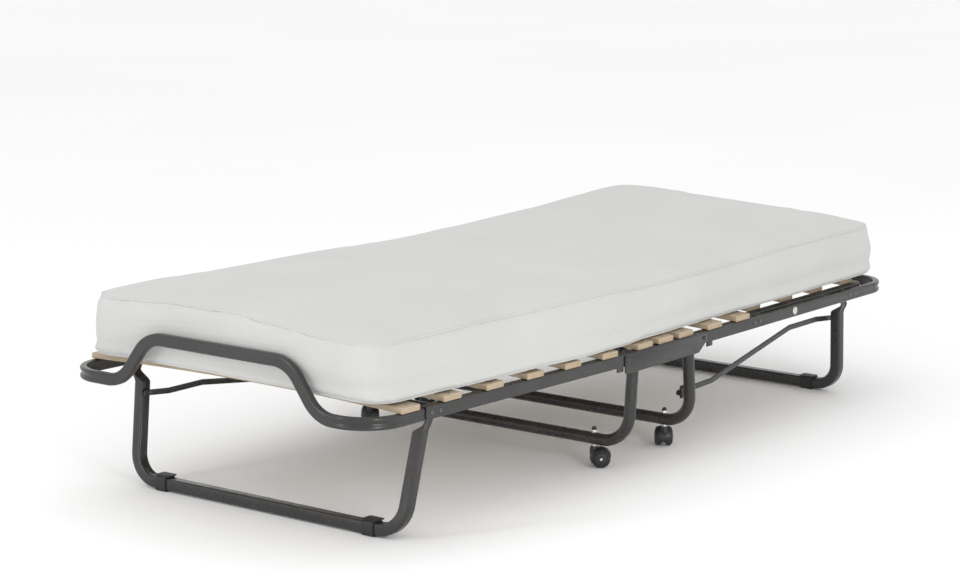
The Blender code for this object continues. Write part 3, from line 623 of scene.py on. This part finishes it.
def build_leg(end):
    """Bent leg tube with its two clip-on glides."""
    pivot = HALVES[end] @ Vector((LEG_PIVOT, 0, 0))
    place = Matrix.Translation(pivot) @ facing(end)
    one_side = leg_rings(pivot.z)
    mirrored = [[Vector((p.x, -p.y, p.z)) for p in ring] for ring in reversed(one_side[:-1])]
    name = f"{end}_leg"
    piece(name, Shape().rings(one_side + mirrored), name, PAINT, place, 32)
    floor = -pivot.z + GLIDE_WALL + LEG_TUBE / 2
    outer = rounded(LEG_TUBE + 2 * GLIDE_WALL, LEG_TUBE + 2 * GLIDE_WALL, 0.0056, 5)
    inner = rounded(LEG_TUBE + 2 * GAP, LEG_TUBE + 2 * GAP, 0.0050, 5)
    for local in (-1, 1):
        centre = local * GLIDE_Y
        rings = []
        for outline, y in zip((inner, outer, outer, inner, inner), (-0.0140, -0.0136, 0.0136, 0.0140, 0.0)):
            rings.append([(x, centre + y, z) for x, z in moved(outline, LEG_FLOOR_X, floor)])
        shape = Shape().rings(rings, loop=True)
        top = floor + LEG_TUBE / 2 + GLIDE_WALL
        lip = moved(rounded(0.026, 0.036, 0.003, 3), LEG_FLOOR_X - 0.004, centre)
        shape.plate(lip, top - 0.0006, top + 0.0018, 0.0006)
        name = f"{end}_glide_{side_of(end, local)}"
        piece(name, shape, f"{end}_leg", GLIDE, place, 30)


def build_brace(end, way):
    """Cranked flat bar, with round ends and a rivet at each."""
    tilt = TILTS[end]
    pivot = Vector((LEG_PIVOT * cos(tilt), LEG_PIVOT * sin(tilt)))
    tip = pivot + Vector(BRACE_TIP) - Vector((BRACE_IN_X, BRACE_IN_Z))
    chord = tip.normalized()
    lift = Vector((-chord.y, chord.x))
    path = []
    for along, height, y in BRACE_CRANKS[end]:
        point = chord * along + lift * height
        path.append((point.x, -y, point.y))
    point = tip + chord * 0.010
    path.append((point.x, -BRACE_OUT_Y, point.y))
    points = filleted(path, [0.040, 0.030, 0.012], 8)
    ends = 7
    first, last = points[0], points[-1]
    head = (points[1] - first).normalized()
    tail = (points[-2] - last).normalized()
    reach = BRACE_WIDTH / 2
    start = [first - head * reach * sin(0.5 * pi * (1 - k / ends)) for k in range(ends)]
    stop = [last - tail * reach * sin(0.5 * pi * k / ends) for k in range(1, ends + 1)]
    points = start + points[1:-1] + stop
    count = len(points)

    def rounded_end(i):
        k = min(i, count - 1 - i)
        scale = cos(0.5 * pi * (1 - k / ends)) if k < ends else 1.0
        return [(u, v * max(scale, 0.12)) for u, v in rounded(BRACE_SHEET, BRACE_WIDTH, 0.0011, 3)]

    shape = Shape().sweep(points, rounded_end)
    shape.lathe(dome(0.0046, 0.0022), (0, BRACE_SHEET / 2 - BRACE_IN_Y, 0), (0, 1, 0), 20, 1)
    shape.lathe(dome(0.0046, 0.0020), (tip.x, BRACE_SHEET / 2 - BRACE_OUT_Y, tip.y), (0, 1, 0), 20, 1)
    place = Matrix.Translation((way * (HINGE_X + BRACE_IN_X), 0, HINGE_Z + BRACE_IN_Z)) @ facing(end)
    piece(f"{end}_brace", shape, f"{end}_brace", [PAINT, RIVET], place)


HEADREST_START, HEADREST_END, HEADREST_Y, HEADREST_WEB, HEADREST_FLANGE = 0.197, 0.722, 0.375, 0.010, 0.021
PROP_Y = 0.3777


def build_headrest():
    """Dark angle frame of the headrest, with its racks and pivot studs, and the two props."""
    place = HALVES["head"]
    high, flange = RAIL_HEIGHT / 2, -HEADREST_FLANGE
    low = high - HEADREST_WEB
    web = [(0.0, low + 0.0004)] + arc(-0.0030, high - 0.0030, 0.0030, 0.0, 0.5 * pi, 4)
    web += [(flange + 0.0004, high), (flange, high - 0.0004), (flange, high - SHEET + 0.0004)]
    web += [(flange + 0.0004, high - SHEET)] + arc(-0.0030, high - 0.0030, 0.0010, 0.5 * pi, 0.0, 3)
    web += [(-SHEET, low + 0.0004), (-SHEET + 0.0004, low), (-0.0004, low)]
    turns = ((HEADREST_START, -1), (HEADREST_END, -1), (HEADREST_END, 1), (HEADREST_START, 1))
    corners = [(x, side * HEADREST_Y, 0) for x, side in turns]
    shape = Shape().sweep(filleted(corners, 0.032, 12), web)
    reach = PROP_PIVOT - HEADREST_PIVOT
    rack = moved(rounded(0.082, 0.018, 0.004, 4), HEADREST_PIVOT + 2 * reach - 0.020, 0)
    lug = moved(rounded(0.016, 0.018, 0.005, 4), HEADREST_PIVOT + 0.002, 0)
    for local in (-1, 1):
        for outline in (rack, lug):
            shape.plate(outline, HEADREST_Y - 0.0004, HEADREST_Y + 0.0018, 0.0004, upright(local))
        out = (0, local, 0)
        shape.lathe(dome(0.0048, 0.0026), (HEADREST_PIVOT, local * HALF_WIDTH, 0), out, 24, 1)
        shape.lathe(rod(0.0030, 0.0, 0.025), (HEADREST_PIVOT, local * (HEADREST_Y - 0.001), 0), out, 16, 1)
    piece("headrest_frame", shape, "headrest", [DARK, RIVET], place)
    arm = moved(rounded(reach + 0.016, 0.016, 0.0078, 8), PROP_PIVOT + reach / 2, 0)
    for local in (-1, 1):
        shape = Shape().plate(arm, PROP_Y, PROP_Y + 0.003, 0.0004, upright(local))
        shape.lathe(rod(0.0030, 0.0, 0.020), (PROP_PIVOT, local * 0.378, 0), (0, local, 0), 16)
        shape.lathe(dome(0.0088, 0.0032, 0.0010), (PROP_PIVOT, local * 0.3976, 0), (0, local, 0), 32)
        name = f"prop_arm_{side_of('head', local)}"
        piece(name, shape, "headrest_prop", ZINC, place)


def build_pins():
    """Rivets: the hinges, the leg pivots, and the fixed ones beside them."""
    for end, way in (("foot", -1), ("head", 1)):
        for local in (-1, 1):
            side = side_of(end, local)
            world = local * way
            centre = (way * HINGE_X, world * (HALF_WIDTH + GAP + PLATE_SHEET), HINGE_Z)
            shape = Shape().lathe(dome(0.0052, 0.0016), centre, (0, world, 0), 24)
            shape.lathe(rod(0.0030, -0.006, 0.0), centre, (0, world, 0), 16)
            node = f"{end}_hinge_pin_{side}"
            piece(node, shape, "centre", PAINT)

            covered = LEG_PIVOT < RAIL_ENDS[end]
            outer = HALF_WIDTH if covered else HALF_WIDTH - SHEET - 2 * GAP
            inner = TAB_Y - TAB_SHEET / 2 - 0.0002
            out = (0, local, 0)
            shape = Shape().lathe(dome(0.0046, 0.0022), (LEG_PIVOT, local * outer, 0), out, 24)
            shape.lathe(rod(0.0030, 0.3772 - outer, 0.0), (LEG_PIVOT, local * outer, 0), out, 16)
            shape.lathe(dome(0.0046, 0.0018), (LEG_PIVOT, local * inner, 0), (0, -local, 0), 20)
            node = f"{end}_leg_pin_{side}"
            piece(node, shape, f"{end}_section", RIVET, HALVES[end])

            spots = [(LEG_PIVOT + 0.0255, outer)] + [(HEADREST_PIVOT + 0.022, HALF_WIDTH)] * (end == "head")
            shape = Shape()
            for x, y in spots:
                shape.lathe(dome(0.0042, 0.0020), (x, local * y, 0), out, 24)
            piece(f"{end}_rail_rivets_{side}", shape, f"{end}_section", RIVET, HALVES[end], extra=True)


# ---- slats


SLAT_WIDTH, SLAT_THICK, SLAT_CROWN, SLAT_RIVET = 0.054, 0.012, 0.010, 0.011
HEADREST_SLAT_HALF = 0.357
SLATS = {
    "centre": (-0.0755, 0.0, 0.0755),
    "foot": (0.059, 0.187, 0.313, 0.443, 0.575, 0.700),
    "head": (0.0445, 0.155),
    "headrest": (0.267, 0.403, 0.533, 0.667),
}


def build_slat(name, x, base, half_length, body, place):
    """Bowed board with eased edges, and a rivet near each end."""
    shape = Shape()
    steps = 28
    outline = rounded(SLAT_WIDTH, SLAT_THICK, 0.0021, 3)
    rings = []
    stations = [half_length * (2 * i / steps - 1) for i in range(steps + 1)]
    stations = [stations[0], stations[0] + 0.0010] + stations[1:-1] + [stations[-1] - 0.0010, stations[-1]]
    for y in stations:
        z = base + SLAT_THICK / 2 + SLAT_CROWN * (1 - (y / half_length) ** 2)
        wide, high = (0.965, 0.84) if abs(y) > half_length - 0.0002 else (1.0, 1.0)
        rings.append([(x + u * wide, y, z + v * high) for u, v in outline])
    shape.rings(rings, caps=False)
    for index in (0, len(rings) - 1):
        corners = range(index * len(outline), (index + 1) * len(outline))
        shape.face(tuple(corners) if index else tuple(reversed(corners)), 1)
    rivet = half_length - SLAT_RIVET
    top = base + SLAT_THICK + SLAT_CROWN * (1 - (rivet / half_length) ** 2)
    for side in (-1, 1):
        shape.lathe(dome(0.0024, 0.0005, 0.0002), (x, side * rivet, top), (0, 0, 1), 18, 2)
    piece(name, shape, body, [WOOD, WOOD_END, RIVET], place, 40)


def build_slats():
    bodies = {"centre": "centre", "foot": "foot_section", "head": "head_section", "headrest": "headrest"}
    for group, body in bodies.items():
        place = HALVES.get(group, HALVES["head"]) if group != "centre" else None
        half_length = HEADREST_SLAT_HALF if group == "headrest" else HALF_WIDTH
        for number, x in enumerate(SLATS[group], 1):
            base = HINGE_Z + PLATE_TOP + GAP if group == "centre" else RAIL_HEIGHT / 2 + GAP
            if group == "foot" and x > RAIL_ENDS["foot"]:
                base -= SHEET + GAP
            build_slat(f"{group}_slat_{number}", x, base, half_length, body, place)


# ---- castors


WHEEL_RADIUS, WHEEL_WIDTH, WHEEL_Y, CASTOR_TRAIL, HOOD_TOP = 0.0200, 0.0140, 0.0118, 0.014, 0.0452
HOOD_START, HOOD_STOP = radians(14), radians(206)
REST_TURNS = {"foot_right": -52.5, "foot_left": 40.0, "head_right": 37.5, "head_left": 160.0}


def castor_hood():
    """Hood over both wheels, with the web between them and the boss of the stem."""
    hub = Vector((CASTOR_TRAIL, 0, WHEEL_RADIUS))
    inner, outer = WHEEL_RADIUS + 0.0008, WHEEL_RADIUS + 0.0028
    steps = 26
    across = [-1 + 2 * k / 15 for k in range(16)]
    rings = []
    for i in range(steps + 1):
        t = HOOD_START + (HOOD_STOP - HOOD_START) * i / steps
        ease = min(1.0, i / 2.0, (steps - i) / 2.0)
        profile = [(outer - 0.0030 * abs(v) ** 2.6 * ease - 0.0009 * (1 - ease), 0.0165 * v) for v in across]
        profile += [(inner - 0.0028 * abs(v) ** 2.6 - 0.0002, 0.0160 * v) for v in reversed(across)]
        rings.append([hub + Vector((r * cos(t), w, r * sin(t))) for r, w in profile])
    shape = Shape().rings(rings)
    web = arc(CASTOR_TRAIL, WHEEL_RADIUS, inner + 0.0006, HOOD_START, HOOD_STOP, 20)
    web += arc(CASTOR_TRAIL, WHEEL_RADIUS, 0.0088, radians(215), radians(375), 10)
    shape.plate(web, -0.0038, 0.0038, 0.0004, upright(1))
    boss = [(0.0, 0.030), (0.0080, 0.030), (0.0080, HOOD_TOP - 0.0032), (0.0076, HOOD_TOP - 0.0012)]
    shape.lathe(boss + [(0.0066, HOOD_TOP - 0.0002), (0.0, HOOD_TOP)], (0, 0, 0), (0, 0, 1), 28)
    return shape.plate(moved(rounded(0.016, 0.0076, 0.003, 4), -0.001, 0), 0.026, 0.0418, 0.0006)


def castor_wheels():
    """Twin wheels with a rounded tread and a stepped disc, on one axle."""
    half, rim = WHEEL_WIDTH / 2, WHEEL_RADIUS
    tread = [(0.0, -half), (0.0026, -half), (0.0140, -half + 0.0004), (0.0170, -half)]
    tread += [(rim - 0.0020, -half + 0.0006), (rim - 0.0007, -half + 0.0026), (rim, -half + 0.0060)]
    tread += [(rim - 0.0004, half - 0.0055), (rim - 0.0018, half - 0.0028), (rim - 0.0040, half - 0.0008)]
    tread += [(0.0150, half - 0.0001), (0.0143, half - 0.0008), (0.0136, half - 0.0008)]
    tread += [(0.0128, half + 0.0003), (0.0080, half + 0.0010), (0.0040, half + 0.0012)]
    tread += [(0.0026, half + 0.0012), (0.0, half + 0.0012)]
    shape = Shape()
    for way in (-1, 1):
        shape.lathe(tread, (0, way * WHEEL_Y, 0), (0, way, 0), 44)
        cap = (0, way * (WHEEL_Y + half + 0.0011), 0)
        shape.lathe(dome(0.0030, 0.0014, 0.0004), cap, (0, way, 0), 20, 1)
    return shape.lathe(rod(0.0024, -0.012, 0.012), (0, 0, 0), (0, 1, 0), 16, 1)


def castor_stem(x, y):
    """Stem through the castor frame, with its collar, nut and cap."""
    nut = U_CROSS_Z + ROUND_TUBE
    base = HOOD_TOP + GAP
    shape = Shape().lathe(rod(0.0040, base, nut + 0.009), (x, y, 0), (0, 0, 1), 20)
    shape.lathe(rod(0.0064, base, HOOD_TOP + 0.0026), (x, y, 0), (0, 0, 1), 24)
    hexagon = moved(arc(0, 0, 0.0068, radians(12), radians(312), 5), x, y)
    shape.plate(hexagon, nut + 0.0002, nut + 0.0058, 0.0006)
    cap = ((0.0, 0.0058), (0.0056, 0.0058), (0.0054, 0.0078), (0.0046, 0.0104), (0.0030, 0.0124))
    cap += ((0.0012, 0.0133), (0.0, 0.0135))
    return shape.lathe([(radius, nut + up) for radius, up in cap], (x, y, 0), (0, 0, 1), 24, 1)


def build_castor(corner):
    end, side = corner.split("_")
    x = -U_FLOOR_X if end == "foot" else U_FLOOR_X
    y = CASTOR_YS[end] if side == "left" else -CASTOR_YS[end]
    place = Matrix.Translation((x, y, 0)) @ Matrix.Rotation(radians(REST_TURNS[corner]), 4, "Z")
    hub = place @ Matrix.Translation((CASTOR_TRAIL, 0, WHEEL_RADIUS))
    name = f"castor_{corner}"
    for part, shape, body, materials, slot, where in (
        ("hood", castor_hood(), f"{name}_swivel", PLASTIC, "black_plastic", place),
        ("wheels", castor_wheels(), f"{name}_wheels_spin", [PLASTIC, ZINC], "black_plastic", hub),
        ("stem", castor_stem(x, y), "centre", [ZINC, PLASTIC], "zinc", None),
    ):
        piece(f"{name}_{part}", shape, body, materials, where)


# ---- mattress


MATTRESS_HALF, MATTRESS_END, MATTRESS_CORNER = 0.370, 0.924, 0.062
MATTRESS_BASE = HINGE_Z + PLATE_TOP + SLAT_THICK + 0.0012
LOW_SEAM, HIGH_SEAM, PIPING, CROWN = 0.0062, 0.1210, 0.0022, 0.416
VOXEL = 0.012
CLOTH_FRAMES = 20
CENTRE_BLOCK, BEND, HEADREST_CUT, HEADREST_BEND = 0.103, 0.075, 0.250, (0.292, 0.408)


def bump_at(value, centre, width):
    """Rises to 1 at the centre, and falls off over the width."""
    return exp(-(((value - centre) / width) ** 2))


def wander(x, y, z, size, scale):
    """Smooth, repeatable unevenness of about the given size."""
    return size * noise.noise(Vector((x * scale + 3.1, y * scale - 1.7, z * scale + 5.3)))


def bed_line(x, y):
    """Height of the mattress's underside: the slats' crown, and the foot half's slight rise."""
    rise = max(-x - HINGE_X, 0.0) * TILTS["foot"]
    return MATTRESS_BASE + rise + SLAT_CROWN * (1 - (y / HALF_WIDTH) ** 2)


def top_line(x, y):
    """Height of the upper seam, and of the cover it holds before that swells.

    The foam sags a little near the middle and stands up at the foot end and the far head corner.
    """
    z = bed_line(x, y) + HIGH_SEAM + 0.0055 * y / MATTRESS_HALF
    z -= 0.0080 * bump_at(x, 0.15, 0.32)
    z += 0.0110 * smoothstep((-x - 0.68) / 0.24) * bump_at(y, 0.03, 0.19)
    z += 0.0100 * smoothstep((x - 0.55) / 0.35) * smoothstep((y + 0.10) / 0.40)
    z += wander(x, y, 9.0, 0.0034, 3.4) + wander(x, y, 4.0, 0.0013, 11.0)
    return z


def low_line(x, y):
    """Height of the lower seam."""
    return bed_line(x, y) + LOW_SEAM + wander(x, y, 2.0, 0.0022, 4.0) + wander(x, y, 6.0, 0.0012, 12.0)


def flare(x, t):
    """How far the sides lean out below the upper seam; most between the foot end and the middle."""
    return (0.003 + 0.021 * bump_at(x, -0.38, 0.40)) * (1 - smoothstep(t))


def plan_ring(t):
    """Rounded rectangle round the mattress, seen from above, at a share t of the way up its sides."""
    points = rounded(2 * MATTRESS_END, 2 * MATTRESS_HALF, MATTRESS_CORNER, 10)
    filled = []
    for (x0, y0), (x1, y1) in zip(points, points[1:] + points[:1]):
        parts = max(1, round(sqrt((x1 - x0) ** 2 + (y1 - y0) ** 2) / 0.010))
        filled += [(x0 + (x1 - x0) * k / parts, y0 + (y1 - y0) * k / parts) for k in range(parts)]
    drawn_in = [0.014 * smoothstep(y / 0.34) * smoothstep((-x - 0.60) / 0.30) for x, y in filled]
    return [(x + shift, y * (1 + flare(x, t) / MATTRESS_HALF)) for (x, y), shift in zip(filled, drawn_in)]


def shrunk_ring(t, inset):
    """The ring at t, brought in by the inset all round."""
    scale_x, scale_y = (MATTRESS_END - inset) / MATTRESS_END, (MATTRESS_HALF - inset) / MATTRESS_HALF
    return [(x * scale_x, y * scale_y) for x, y in plan_ring(t)]


def mattress_block():
    """Closed block between the two seams, made into a dense even mesh."""
    insets = (0.008, 0.022, 0.045, 0.080, 0.125, 0.180, 0.240, 0.300, 0.350)

    def underside(x, y):
        return bed_line(x, y) + wander(x, y, 3.0, 0.0012, 14.0)

    levels = []
    for inset in reversed(insets):
        low = 0.0020 if inset == insets[0] else 0.0
        levels.append([Vector((x, y, underside(x, y) + low)) for x, y in shrunk_ring(0.0, inset)])
    layers = 9
    for t in [k / layers for k in range(layers + 1)]:
        ring = plan_ring(t)
        levels.append([Vector((x, y, low_line(x, y) * (1 - t) + top_line(x, y) * t)) for x, y in ring])
    for inset in insets:
        rise = 0.0040 * smoothstep(inset / 0.03)
        levels.append([Vector((x, y, top_line(x, y) + rise)) for x, y in shrunk_ring(1.0, inset)])
    bm = bmesh.new()
    skin(bm, levels, loop=False)
    block = add_object("mattress_block", finished(bm, "mattress_block"))
    step = block.modifiers.new("remesh", "REMESH")
    step.mode = "VOXEL"
    step.voxel_size = VOXEL
    apply_modifiers(block)
    return block


def finished(bm, name):
    mesh = bpy.data.meshes.new(name)
    bm.to_mesh(mesh)
    bm.free()
    return mesh


def skin(bm, levels, loop):
    """Joins rings of points into a closed body: a ring of rings, or a stack with two end caps."""
    loops = [[bm.verts.new(p) for p in ring] for ring in levels]
    for low, high in zip(loops, loops[1:] + loops[:1] if loop else loops[1:]):
        for i in range(len(low)):
            j = (i + 1) % len(low)
            bm.faces.new((low[i], low[j], high[j], high[i]))
    if not loop:
        bm.faces.new(loops[0][::-1])
        bm.faces.new(loops[-1])


def apply_modifiers(obj):
    graph = bpy.context.evaluated_depsgraph_get()
    mesh = bpy.data.meshes.new_from_object(obj.evaluated_get(graph))
    old = obj.data
    obj.modifiers.clear()
    obj.data = mesh
    bpy.data.meshes.remove(old)


def seam_distance(point):
    """Distance from a point on the block to the nearer of its two seams."""
    low, top = low_line(point.x, point.y), top_line(point.x, point.y)
    half = MATTRESS_HALF + flare(point.x, (point.z - low) / (top - low))
    qx, qy = abs(point.x) - (MATTRESS_END - MATTRESS_CORNER), abs(point.y) - (half - MATTRESS_CORNER)
    outside = sqrt(max(qx, 0.0) ** 2 + max(qy, 0.0) ** 2) + min(max(qx, qy), 0.0) - MATTRESS_CORNER
    up = min(abs(point.z - top), abs(point.z - low))
    return sqrt(min(outside, 0.0) ** 2 + up**2)


def swell(block):
    """Inflates the block as cloth, and lets no point move further than the seams allow."""
    scene = bpy.context.scene
    before = [v.co.copy() for v in block.data.vertices]
    step = block.modifiers.new("cloth", "CLOTH")
    cloth = step.settings
    cloth.quality = 4
    cloth.mass = 0.3
    cloth.tension_stiffness = cloth.compression_stiffness = 12.0
    cloth.shear_stiffness = 5.0
    cloth.bending_stiffness = 1.5
    cloth.use_pressure = True
    cloth.uniform_pressure_force = 4.0
    cloth.effector_weights.gravity = 0.0
    step.collision_settings.use_self_collision = False
    step.point_cache.frame_start, step.point_cache.frame_end = 1, CLOTH_FRAMES
    for number in range(1, CLOTH_FRAMES + 1):
        scene.frame_set(number)
    graph = bpy.context.evaluated_depsgraph_get()
    moved = [v.co.copy() for v in block.evaluated_get(graph).data.vertices]
    block.modifiers.clear()
    scene.frame_set(1)
    for vertex, start, end in zip(block.data.vertices, before, moved):
        vertex.co = start + capped(start, end - start)


def capped(start, shift):
    """Limits a point's shift: nothing at the seams, little underneath, and outward on the sides."""
    above = start.z - bed_line(start.x, start.y)
    limit = (0.0150 if above > 0.100 else 0.0095) * smoothstep(seam_distance(start) / 0.055)
    x, y = max(abs(start.x) - MATTRESS_END + 0.10, 0.0), max(abs(start.y) - MATTRESS_HALF + 0.10, 0.0)
    if 0.008 < above < 0.112 and max(x, y) > 0.06:
        out = Vector((copysign(x**3, start.x), copysign(y**3, start.y), 0.0)).normalized()
        shift = shift - out * min(shift.dot(out), 0.0) * 1.9
    if above < LOW_SEAM - 0.002:
        shift = Vector((shift.x, shift.y, 0.0)) * 0.3
    length = shift.length
    return shift * (limit * (1 - exp(-length / max(limit, 1e-6))) / length) if length > 1e-6 else shift


def ease_surface(block):
    """Gives the faces soft, shallow unevenness, a square lower edge and a low crown."""
    for vertex in block.data.vertices:
        point = vertex.co
        far = seam_distance(point)
        top = smoothstep((point.z - bed_line(point.x, point.y) - 0.095) / 0.020)
        lumps = wander(point.x, point.y, 1.0, 0.0030, 2.6) + wander(point.x, point.y, 7.0, 0.0012, 8.0)
        point.z += top * lumps * smoothstep(far / 0.060)
        side = wander(point.x, point.y, point.z * 3.0, 0.0034, 6.0)
        side += wander(point.x, point.y, point.z, 0.0012, 17.0)
        outward = Vector((point.x * 0.2, point.y, 0.0)).normalized()
        point += outward * side * smoothstep(far / 0.030) * (1 - top)
        square = smoothstep((0.032 - (point.z - bed_line(point.x, point.y))) / 0.024)
        point.y += copysign(0.0105 * square * smoothstep((abs(point.y) - 0.33) / 0.03), point.y)
        point.x += copysign(0.0070 * square * smoothstep((abs(point.x) - 0.88) / 0.03), point.x)
        if point.z > CROWN:
            point.z = CROWN + 0.010 * tanh((point.z - CROWN) / 0.010)


def piping(block, line, t):
    """Cord of cover fabric laid on the block along a seam."""
    mesh = block.data
    tree = BVHTree.FromPolygons([v.co for v in mesh.vertices], [p.vertices for p in mesh.polygons])
    path = []
    for x, y in plan_ring(t):
        place, normal, _, _ = tree.find_nearest(Vector((x, y, line(x, y))))
        path.append(place + normal * 0.0005)
    rings = []
    count = len(path)
    for _ in range(3):
        path = [(path[i - 1] + path[i] * 2 + path[(i + 1) % count]) / 4 for i in range(count)]
    for i, point in enumerate(path):
        along = (path[(i + 1) % count] - path[i - 1]).normalized()
        side = along.cross(Vector((0, 0, 1))).normalized()
        rise = side.cross(along)
        size = PIPING * (1 + 0.06 * sin(i * 1.9))
        rings.append([point + side * u * size + rise * v * size for u, v in circle(1.0, 8)])
    return rings


def build_mattress():
    block = mattress_block()
    swell(block)
    smoother = block.modifiers.new("soften", "SMOOTH")
    smoother.factor, smoother.iterations = 0.5, 2
    divide = block.modifiers.new("divide", "SUBSURF")
    divide.levels = divide.render_levels = 1
    apply_modifiers(block)
    ease_surface(block)
    bm = bmesh.new()
    bm.from_mesh(block.data)
    for line, t in ((top_line, 1.0), (low_line, 0.0)):
        skin(bm, piping(block, line, t), loop=True)
    bmesh.ops.recalc_face_normals(bm, faces=bm.faces)
    whole = finished(bm, "mattress_whole")
    bpy.data.objects.remove(block, do_unlink=True)

    def cut(name, node, low, high):
        part = mattress_part(name, whole, low, high)
        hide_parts(node)
        return part

    def bend(part, inner, outer, start, end):
        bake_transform(part)

    far, edge = 2.0, CENTRE_BLOCK
    part = cut("mattress_foot_part", "mattress_foot", -far, -edge)
    bend(part, "foot_section", "centre", -edge - BEND, -edge)
    for side, joint, low, high in (("foot", "foot_fold", -edge, 0.0), ("head", "head_fold", 0.0, edge)):
        part = cut(f"mattress_centre_{side}_side", "mattress_centre", low, high)
        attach(part, "centre")
        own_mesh(part)
    part = cut("mattress_head_part", "mattress_head", edge, HEADREST_CUT)
    bend(part, "centre", "head_section", edge, edge + BEND)
    part = cut("mattress_headrest_part", "mattress_headrest", HEADREST_CUT, far)
    bend(part, "head_section", "headrest", HEADREST_BEND[0], HEADREST_BEND[1])
    bpy.data.meshes.remove(whole)


def mattress_part(name, whole, low, high):
    """Cuts one length out of the mattress and closes its cut ends."""
    bm = bmesh.new()
    bm.from_mesh(whole)
    for x, way in ((low, -1), (high, 1)):
        if abs(x) > 1.5:
            continue
        geometry = bm.verts[:] + bm.edges[:] + bm.faces[:]
        plane = {"plane_co": (x, 0, 0), "plane_no": (way, 0, 0)}
        bmesh.ops.bisect_plane(bm, geom=geometry, dist=1e-6, clear_outer=True, **plane)
        rim = [e for e in bm.edges if e.is_boundary and all(abs(v.co.x - x) < 1e-5 for v in e.verts)]
        bmesh.ops.holes_fill(bm, edges=rim, sides=0)
        for edge in rim:
            edge.smooth = False
    for face in bm.faces:
        face.smooth = True
    bmesh.ops.recalc_face_normals(bm, faces=bm.faces)
    mesh = finished(bm, name)
    mesh.materials.append(TICKING)
    return add_object(name, mesh)


# ---- stage


def build_stage():
    """Wide pale floor, even white surroundings and three soft lights."""
    mesh = bpy.data.meshes.new("floor")
    size = 60.0
    corners = [(-size, -size, 0), (size, -size, 0), (size, size, 0), (-size, size, 0)]
    mesh.from_pydata(corners, [], [(0, 1, 2, 3)])
    floor = add_object("floor", mesh)
    floor.location.z = -0.0002
    m = Nodes("floor_look", 0.9, 0.1)
    m.to("Base Color", m.ramp(m.noise(0.6, 2.0), ((0.3, (0.93, 0.93, 0.93)), (0.7, (0.95, 0.95, 0.95)))))
    mesh.materials.append(m.material)

    world = bpy.data.worlds.new("studio")
    bpy.context.scene.world = world
    world.use_nodes = True
    sky = world.node_tree.nodes["Background"]
    sky.inputs["Color"].default_value = (1.0, 1.0, 1.0, 1.0)
    sky.inputs["Strength"].default_value = 1.0

    for name, place, target, size_x, size_y, power in (
        ("key", (-2.2, -4.2, 1.5), (0.0, 0.0, 0.25), 1.1, 2.4, 62.0),
        ("edge", (-4.4, 1.4, 1.6), (-0.4, 0.0, 0.3), 0.6, 2.4, 38.0),
        ("top", (0.3, 0.4, 3.6), (0.0, 0.0, 0.3), 3.6, 0.5, 8.0),
    ):
        data = bpy.data.lights.new(name, "AREA")
        data.shape, data.size, data.size_y, data.energy = "RECTANGLE", size_x, size_y, power
        light = add_object(name, data)
        light.location = place
        light.rotation_euler = (Vector(target) - Vector(place)).to_track_quat("-Z", "Y").to_euler()


def build_camera():
    data = bpy.data.cameras.new("camera")
    data.sensor_width, data.lens = 36.0, 105.15
    camera = add_object("camera", data)
    yaw, pitch, roll = 0.654, 0.189, 0.002
    ahead = Vector((cos(yaw) * cos(pitch), sin(yaw) * cos(pitch), -sin(pitch)))
    right = ahead.cross(Vector((0, 0, 1))).normalized()
    up = right.cross(ahead)
    right, up = right * cos(roll) + up * sin(roll), up * cos(roll) - right * sin(roll)
    turn = Matrix((right, up, -ahead)).transposed().to_4x4()
    camera.matrix_world = Matrix.Translation((-4.754, -3.557, 1.449)) @ turn
    bpy.context.scene.camera = camera
    bpy.context.scene.view_settings.view_transform = "Standard"


build_camera()
build_stage()
for end, way in (("foot", -1), ("head", 1)):
    build_rails(end)
    build_end_tube(end)
    build_leg(end)
    build_brace(end, way)
build_side_plates()
build_castor_frames()
build_headrest()
build_pins()
build_slats()
for corner in REST_TURNS:
    build_castor(corner)
build_mattress()
